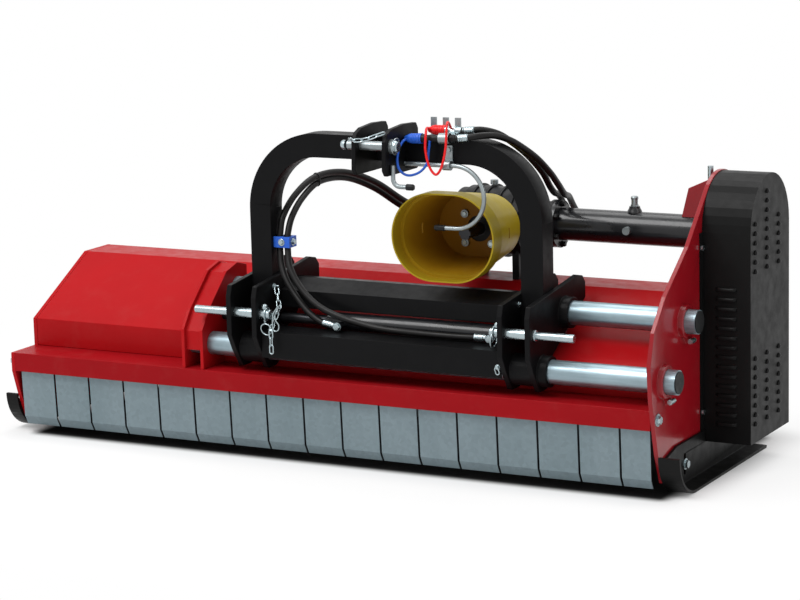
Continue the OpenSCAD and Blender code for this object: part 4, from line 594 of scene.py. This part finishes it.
def tie(bm, a, b, r, w=0.005):
    """A cable tie drawn round two hoses whose middles are a and b."""
    d = (b - a)
    n = Vector((0.35, 0.1, 1)) if abs(d.normalized().z) < 0.7 else Vector((1, 0.2, 0))
    t = d.normalized().cross(n).normalized()
    u = d.normalized()
    n = t.cross(u)
    path = [b + r * (math.cos(x) * u + math.sin(x) * n) for x in [-math.pi / 2 + math.pi * k / 8 for k in range(9)]]
    path += [a - r * (math.cos(x) * u + math.sin(x) * n) for x in [-math.pi / 2 + math.pi * k / 8 for k in range(9)]]
    mid = (a + b) / 2
    ring = []
    for p in path:
        o = (p - mid).normalized() * 0.0012
        ring.append([bm.verts.new(p + s * t * w / 2 + q * o) for s, q in ((-1, 0), (1, 0), (1, 1), (-1, 1))])
    for i, x in enumerate(ring):
        y = ring[(i + 1) % len(ring)]
        for k in range(4):
            bm.faces.new((x[k], y[k], y[(k + 1) % 4], x[(k + 1) % 4]))


def nearest(pts, x):
    return min(pts, key=lambda p: (p - x).length)


bm = bmesh.new()
for p in (at(-163, 300, 748), at(100, 655, 585), at(300, 660, 580), at(482, 568, 644)):
    a = nearest(left_pts, p)
    tie(bm, a, nearest(right_pts, a), HOSE_R + 0.0006)
mesh_piece("hose_ties", bm, black_plastic, "carriage")

# Screws of the hose clamp
bm = bmesh.new()
add_bolt(bm, at(-169.5, 112.4, 592), (0, -1, 0), 0.0075, 0.005, 0.010, 0.0015)
add_bolt(bm, at(-144.5, 132.5, 592), (1, 0, 0), 0.0075, 0.006, 0.0105, 0.0015)
mesh_piece("clamp_screws", bm, zinc, "carriage")


# Pressed louvres and eyebrows of the belt cover
COVER_OUT, COVER_FRONT = 1120.6, 328.5
COVER_BOTTOM, COVER_H = 87, 563
LOUVRE_LOW, LOUVRE_HIGH, LOUVRE_COUNT = 0.09, 0.735, 15
LOUVRE_X, LOUVRE_HALF, LOUVRE_BULGE = 1052.6, 30, 7.0
EYEBROW_LOW, EYEBROW_HIGH, EYEBROW_PITCH = 0.09, 0.817, 25.3
EYEBROW_Y, EYEBROW_COLUMN, EYEBROW_R, EYEBROW_OUT = 473 - 23, 87, 11.5, 6.0
EYEBROW_PROFILE = ((0.05, 1.0), (0.55, 0.88), (0.85, 0.66), (1.0, 0.36), (1.0, 0.02))
bm = bmesh.new()
for i in range(LOUVRE_COUNT):
    z = COVER_BOTTOM + (LOUVRE_LOW + (LOUVRE_HIGH - LOUVRE_LOW) * i / (LOUVRE_COUNT - 1)) * COVER_H
    cols = []
    for k in range(13):
        s = -1 + 2 * k / 12
        x = LOUVRE_X + s * LOUVRE_HALF
        bulge = LOUVRE_BULGE * math.sqrt(max(0, 1 - abs(s) ** 4))
        rows = []
        for j in range(7):
            a = math.pi / 2 * j / 6
            rise = 9.5 if 0 < k < 12 else 9.0
            out_y = COVER_FRONT - 0.2 - bulge * math.cos(a)
            rows.append(bm.verts.new(at(x, out_y, z - 3.5 + rise * math.sin(a))))
        cols.append(rows)
    for a, b in zip(cols[:-1], cols[1:]):
        for j in range(6):
            bm.faces.new((a[j], b[j], b[j + 1], a[j + 1]))
louvres = mesh_piece("cover_louvres", bm, black_cover, "deck", True, 70)
solid = louvres.modifiers.new("sheet", "SOLIDIFY")
solid.thickness = 0.0012
solid.offset = -1

bm = bmesh.new()
for share, rows in ((EYEBROW_LOW, (8, 8, 8)), (EYEBROW_HIGH, (6, 9, 6))):
    for k, count in zip((-1, 0, 1), rows):
        for i in range(count):
            y = EYEBROW_Y + k * EYEBROW_COLUMN
            z = COVER_BOTTOM + share * COVER_H + i * EYEBROW_PITCH
            rim = []
            for h, c in EYEBROW_PROFILE:
                r = EYEBROW_R * c
                rim.append([bm.verts.new(at(COVER_OUT + h * EYEBROW_OUT, y + r * math.cos(a), z - 4 + r * math.sin(a)))
                            for a in [math.pi * q / 10 for q in range(11)]])
            for a, b in zip(rim[:-1], rim[1:]):
                for q in range(10):
                    bm.faces.new((a[q], b[q], b[q + 1], a[q + 1]))
brows = mesh_piece("cover_eyebrows", bm, black_cover, "deck", True, 70)
solid = brows.modifiers.new("sheet", "SOLIDIFY")
solid.thickness = 0.001
solid.offset = -1


# Black tips of the hook and of the fixed hook
def tip(bm, base, d, r, length):
    add_lathe(bm, base, d, [(0, -0.001), (r, -0.001), (r * 1.04, 0.001), (r * 1.04, length * 0.85), (r * 0.85, length),
                            (0, length)], 28)


bm = bmesh.new()
tip(bm, at(352, 86, 665), (-1, 0, 0), 0.0078, 0.030)
mesh_piece("hook_tip", bm, black_plastic, "hook")
bm = bmesh.new()
tip(bm, at(284, 5, 783), (1, 0, 0), 0.0082, 0.020)
mesh_piece("fixed_hook_tip", bm, black_plastic, "carriage")

# Chain, ends and ring clip of the top pin
TOP_PIN_Y, TOP_PIN_Z = 11.1, 887.8
TOP_CHAIN = [(120, -4, 905), (136, -30, 908), (160, -34, 906), (190, -34, 912), (214, -30, 921), (231, -22, 928),
             (243, -6, 925)]
chain("top_pin_chain", [at(*q) for q in TOP_CHAIN], zinc, "carriage", 0.0017, 0.0052, 0.0075)
bm = bmesh.new()
add_lathe(bm, at(100, TOP_PIN_Y, TOP_PIN_Z), (-1, 0, 0), [(0, 0), (0.0124, 0), (0.0124, 0.008), (0.010, 0.0115),
                                                          (0, 0.0115)], 32)
add_lathe(bm, at(246.5, TOP_PIN_Y, TOP_PIN_Z), (1, 0, 0), [(0, 0), (0.0165, 0), (0.0165, 0.004), (0.013, 0.012),
                                                           (0, 0.012)], 32)
mesh_piece("top_pin_ends", bm, zinc, "carriage")
TOP_RING_R = 21
turns = [2 * math.pi * k / 32 for k in range(32)]
ring_pts = [at(254 + 2 * math.cos(a), 3 + TOP_RING_R * math.sin(a), 890 + TOP_RING_R * math.cos(a)) for a in turns]
tube("top_pin_clip", ring_pts, 0.0017, zinc, "carriage", 3, True)

# Ends of the lower pins: chamfers, collars and linch pins
PIN_Y, PIN_Z = 8, 410
bm = bmesh.new()
for x, s in ((-387.5, -1), (758.5, 1)):
    add_lathe(bm, at(x, PIN_Y, PIN_Z), (s, 0, 0), [(0, -0.0002), (0.0108, -0.0002), (0.0098, 0.0016), (0, 0.0016)], 36)
for x, s in ((-274.5, -1), (645.5, 1)):
    add_lathe(bm, at(x, PIN_Y, PIN_Z), (s, 0, 0), [(0.0112, 0), (0.0150, 0), (0.0150, 0.005), (0.0138, 0.0065),
                                                   (0.0112, 0.0065)], 36)
for x, s in ((-151.5, 1), (522.5, -1)):
    add_lathe(bm, at(x, PIN_Y, PIN_Z), (s, 0, 0), [(0, -0.0002), (0.0138, -0.0002), (0.0122, 0.0026), (0, 0.0026)], 36)
    add_lathe(bm, at(x - s * 17, PIN_Y, 386), (0, 0, 1), [(0, 0), (0.0032, 0), (0.0045, 0.004), (0.0045, 0.038),
                                                          (0.0085, 0.039), (0.0095, 0.042), (0.0088, 0.048),
                                                          (0.0045, 0.052), (0, 0.0525)], 24)
mesh_piece("lower_pin_ends", bm, zinc, "carriage")


def ring(name, centre, u, v, r, wire, mat):
    pts = [centre + around(u, v, r, k, 40) for k in range(40)]
    return tube(name, pts, wire, mat, "carriage", 3, True)


ring("left_linch_ring", at(-151, -15, 373), Vector((1, 0, 0)), Vector((0, -0.25, 1)).normalized(),
     0.0165, 0.0017, zinc)
ring("right_linch_ring", at(531, 4, 393), Vector((0, 1, 0)), Vector((0.12, 0, 1)).normalized(),
     0.0225, 0.0018, zinc)
CLIP = [(-101, -16, 448), (-112, -16, 435), (-121, -16, 418), (-120, -16, 401), (-111, -16, 388), (-112, -16, 375),
        (-123, -16, 370), (-130, -16, 378), (-130, -16, 398), (-124, -20, 420), (-109, -20, 441)]
tube("spring_clip", smooth_path([at(*q) for q in CLIP], 8), 0.0016, zinc, "carriage", 3)

# Bolt heads on the carriage, and the chain's second anchor on the lower beam
bm = bmesh.new()
add_bolt(bm, at(565.5, 86, 474.2), (1, 0, 0), 0.0065, 0.005, 0.008, 0.0012)
add_bolt(bm, at(-179.5, 81.1, 474.6), (1, 0, 0), 0.0065, 0.005, 0.008, 0.0012)
add_bolt(bm, at(540, 3.4, 318), (0, -1, 0), 0.0055, 0.004, 0.0075, 0.0012)
add_link(bm, at(541, -2, 310), (0.3, 0, -1), (0, 1, 0), 0.0017, 0.0052, 0.005)
mesh_piece("carriage_bolts", bm, zinc, "carriage")


def weld(bm, centre, axis, r, bead=0.0035, turns=46):
    """A rippled weld bead round a tube where it meets a plate."""
    u, v, w = axes_of(axis)
    rings = []
    n = turns * 2
    for i in range(n):
        a = 2 * math.pi * i / n
        q = bead * (1.0 + 0.14 * (1 if i % 2 else -1))
        o = math.cos(a) * u + math.sin(a) * v
        rings.append([bm.verts.new(centre + o * (r + q * math.cos(b)) + w * q * math.sin(b))
                      for b in (0, math.pi / 4, math.pi / 2, 3 * math.pi / 4)])
    for i, p in enumerate(rings):
        q = rings[(i + 1) % n]
        for k in range(3):
            bm.faces.new((p[k], q[k], q[k + 1], p[k + 1]))


bm = bmesh.new()
for y, z in ((200, 437), (60, 305)):
    weld(bm, at(645.5, y, z), (1, 0, 0), 0.042, 0.0026)
mesh_piece("sleeve_welds", bm, black_frame, "carriage")

# Flange bolts of the gearbox and the drive tube
DRIVE_Y, DRIVE_Z = 473, 625
TUBE_BOLT_CIRCLE, BOX_BOLT_CIRCLE = 56, 76
bm = bmesh.new()
for k in range(6):
    a = math.pi / 6 + math.pi / 3 * k
    add_bolt(bm, at(515, DRIVE_Y + TUBE_BOLT_CIRCLE * math.cos(a), DRIVE_Z + TUBE_BOLT_CIRCLE * math.sin(a)), (1, 0, 0),
             0.008, 0.009, 0.0095, 0.0015)
for k in range(8):
    a = 2 * math.pi * k / 8
    add_bolt(bm, at(215, DRIVE_Y + BOX_BOLT_CIRCLE * math.cos(a), DRIVE_Z + BOX_BOLT_CIRCLE * math.sin(a)), (-1, 0, 0),
             0.0075, 0.006)
mesh_piece("gearbox_bolts", bm, black_cast, "deck")

# Hexagons on the bolts that hold the guard
bm = bmesh.new()
for x, z in ((293, 585), (293, 665), (373, 585), (373, 665)):
    add_bolt(bm, at(x, 318.1, z), (0, -1, 0), 0.0075, 0.0035)
mesh_piece("guard_bolt_heads", bm, zinc, "deck")

# Breather on the drive tube
bm = bmesh.new()
TUBE_START_X, TUBE_LEN, BREATHER_SHARE = 503, 469.6, 0.488
breather_x = TUBE_START_X + BREATHER_SHARE * TUBE_LEN
add_lathe(bm, at(breather_x, DRIVE_Y, 668), (0, 0, 1), [(0, 0), (0.021, 0), (0.019, 0.006), (0.0155, 0.012),
                                                        (0.0145, 0.017), (0, 0.017)], 36)
mesh_piece("breather_boss", bm, black_tube, "deck")
bm = bmesh.new()
add_lathe(bm, at(breather_x, DRIVE_Y, 684), (0, 0, 1), [(0, 0), (0.0105, 0), (0.0105, 0.006), (0, 0.006)], 6)
add_lathe(bm, at(breather_x, DRIVE_Y, 704), (0, 0, 1), [(0, 0), (0.0098, 0), (0.0102, 0.0015), (0.0102, 0.006),
                                                        (0.008, 0.0085), (0, 0.0088)], 24)
mesh_piece("breather_cap", bm, dull_zinc, "deck")


# Floor
floor_me = bpy.data.meshes.new("floor")
floor_me.from_pydata([(-30, -30, 0), (30, -30, 0), (30, 30, 0), (-30, 30, 0)], [], [(0, 1, 2, 3)])
floor = bpy.data.objects.new("floor", floor_me)
floor.location.z = -0.0005
scene.collection.objects.link(floor)
fm = bpy.data.materials.new("floor_white")
fm.use_nodes = True
nt = fm.node_tree


def floor_node(kind, operation=None, **inputs):
    """Adds a node to the floor's tree; an input is a constant or another node's output."""
    n = nt.nodes.new("ShaderNode" + kind)
    if operation:
        n.operation = operation
    for key, v in inputs.items():
        socket = n.inputs[int(key[1:])] if key[0] == "i" else n.inputs[key.replace("_", " ")]
        if isinstance(v, bpy.types.NodeSocket):
            nt.links.new(v, socket)
        else:
            socket.default_value = v
    return n


# The floor's colour is painted dark under the machine, a painted shadow that fades out a short way past the deck's
# outline
SHADE_MID, SHADE_HALF = (-0.015, -0.03, 0), (0.965, 0.35, 0)
place = nt.nodes.new("ShaderNodeTexCoord")
from_mid = floor_node("VectorMath", "SUBTRACT", i0=place.outputs["Object"], i1=SHADE_MID)
off = floor_node("VectorMath", "ABSOLUTE", i0=from_mid.outputs[0])
past = floor_node("VectorMath", "SUBTRACT", i0=off.outputs[0], i1=SHADE_HALF)
outside = floor_node("VectorMath", "MAXIMUM", i0=past.outputs[0], i1=(0, 0, 0))
flat = floor_node("VectorMath", "MULTIPLY", i0=outside.outputs[0], i1=(1, 1, 0))
far = floor_node("VectorMath", "LENGTH", i0=flat.outputs[0])
painted_shadow_tone = floor_node("MapRange", Value=far.outputs["Value"], From_Min=0.0, From_Max=0.05, To_Min=0.015, To_Max=0.86)
painted_shadow_tone.interpolation_type = "SMOOTHSTEP"
whiten = floor_node("MapRange", Value=far.outputs["Value"], From_Min=0.0, From_Max=0.18, To_Min=0.0, To_Max=0.8)
whiten.interpolation_type = "SMOOTHSTEP"
horizon = floor_node("MapRange", Value=far.outputs["Value"], From_Min=0.5, From_Max=1.2, To_Min=0.0, To_Max=0.2)
lp = nt.nodes.new("ShaderNodeLightPath")
white_share = floor_node("Math", "ADD", i0=whiten.outputs["Result"], i1=horizon.outputs["Result"])
mirrored = floor_node("Math", "MAXIMUM", i0=lp.outputs["Is Glossy Ray"], i1=lp.outputs["Is Transmission Ray"])
seen_ray = floor_node("Math", "MAXIMUM", i0=lp.outputs["Is Camera Ray"], i1=mirrored.outputs[0])
share = floor_node("Math", "MULTIPLY", i0=seen_ray.outputs[0], i1=white_share.outputs[0])
pb = nt.nodes["Principled BSDF"]
pb.inputs["Roughness"].default_value = 0.9
pb.inputs["Specular IOR Level"].default_value = 0.1
nt.links.new(painted_shadow_tone.outputs["Result"], pb.inputs["Base Color"])
em = nt.nodes.new("ShaderNodeEmission")
em.inputs["Strength"].default_value = 1.0
mx = floor_node("MixShader", i0=share.outputs[0], i1=pb.outputs[0], i2=em.outputs[0])
nt.links.new(mx.outputs[0], nt.nodes["Material Output"].inputs["Surface"])
floor_me.materials.append(fm)

# Soft studio light in a white room
world = bpy.data.worlds.new("studio")
scene.world = world
world.use_nodes = True
nt = world.node_tree
nt.nodes.clear()
out = nt.nodes.new("ShaderNodeOutputWorld")
seen = nt.nodes.new("ShaderNodeBackground")
seen.inputs["Color"].default_value = (1, 1, 1, 1)
seen.inputs["Strength"].default_value = 1.0
lit = nt.nodes.new("ShaderNodeBackground")
lit.inputs["Color"].default_value = (1, 1, 1, 1)
lit.inputs["Strength"].default_value = 0.4
lp = nt.nodes.new("ShaderNodeLightPath")
m1 = nt.nodes.new("ShaderNodeMath")
m1.operation = "MAXIMUM"
m2 = nt.nodes.new("ShaderNodeMath")
m2.operation = "MAXIMUM"
mx = nt.nodes.new("ShaderNodeMixShader")
nt.links.new(lp.outputs["Is Camera Ray"], m1.inputs[0])
nt.links.new(lp.outputs["Is Glossy Ray"], m1.inputs[1])
nt.links.new(m1.outputs[0], m2.inputs[0])
nt.links.new(lp.outputs["Is Transmission Ray"], m2.inputs[1])
nt.links.new(m2.outputs[0], mx.inputs["Fac"])
nt.links.new(lit.outputs[0], mx.inputs[1])
nt.links.new(seen.outputs[0], mx.inputs[2])
nt.links.new(mx.outputs[0], out.inputs["Surface"])


def softbox(name, place, aim, size, power):
    data = bpy.data.lights.new(name, "AREA")
    data.shape = "RECTANGLE"
    data.size, data.size_y = size
    data.energy = power
    o = bpy.data.objects.new(name, data)
    scene.collection.objects.link(o)
    o.location = place
    o.rotation_euler = (Vector(aim) - Vector(place)).to_track_quat("-Z", "Y").to_euler()


softbox("key", (-1.4, -3.0, 5.2), (0, 0, 0.3), (4.0, 3.0), 300)
softbox("fill", (5.5, -0.6, 2.6), (0.6, 0, 0.4), (2.5, 2.5), 45)
softbox("top", (0.3, 1.6, 5.2), (0, 0, 0.4), (4.5, 2.5), 110)

scene.view_settings.view_transform = "Standard"
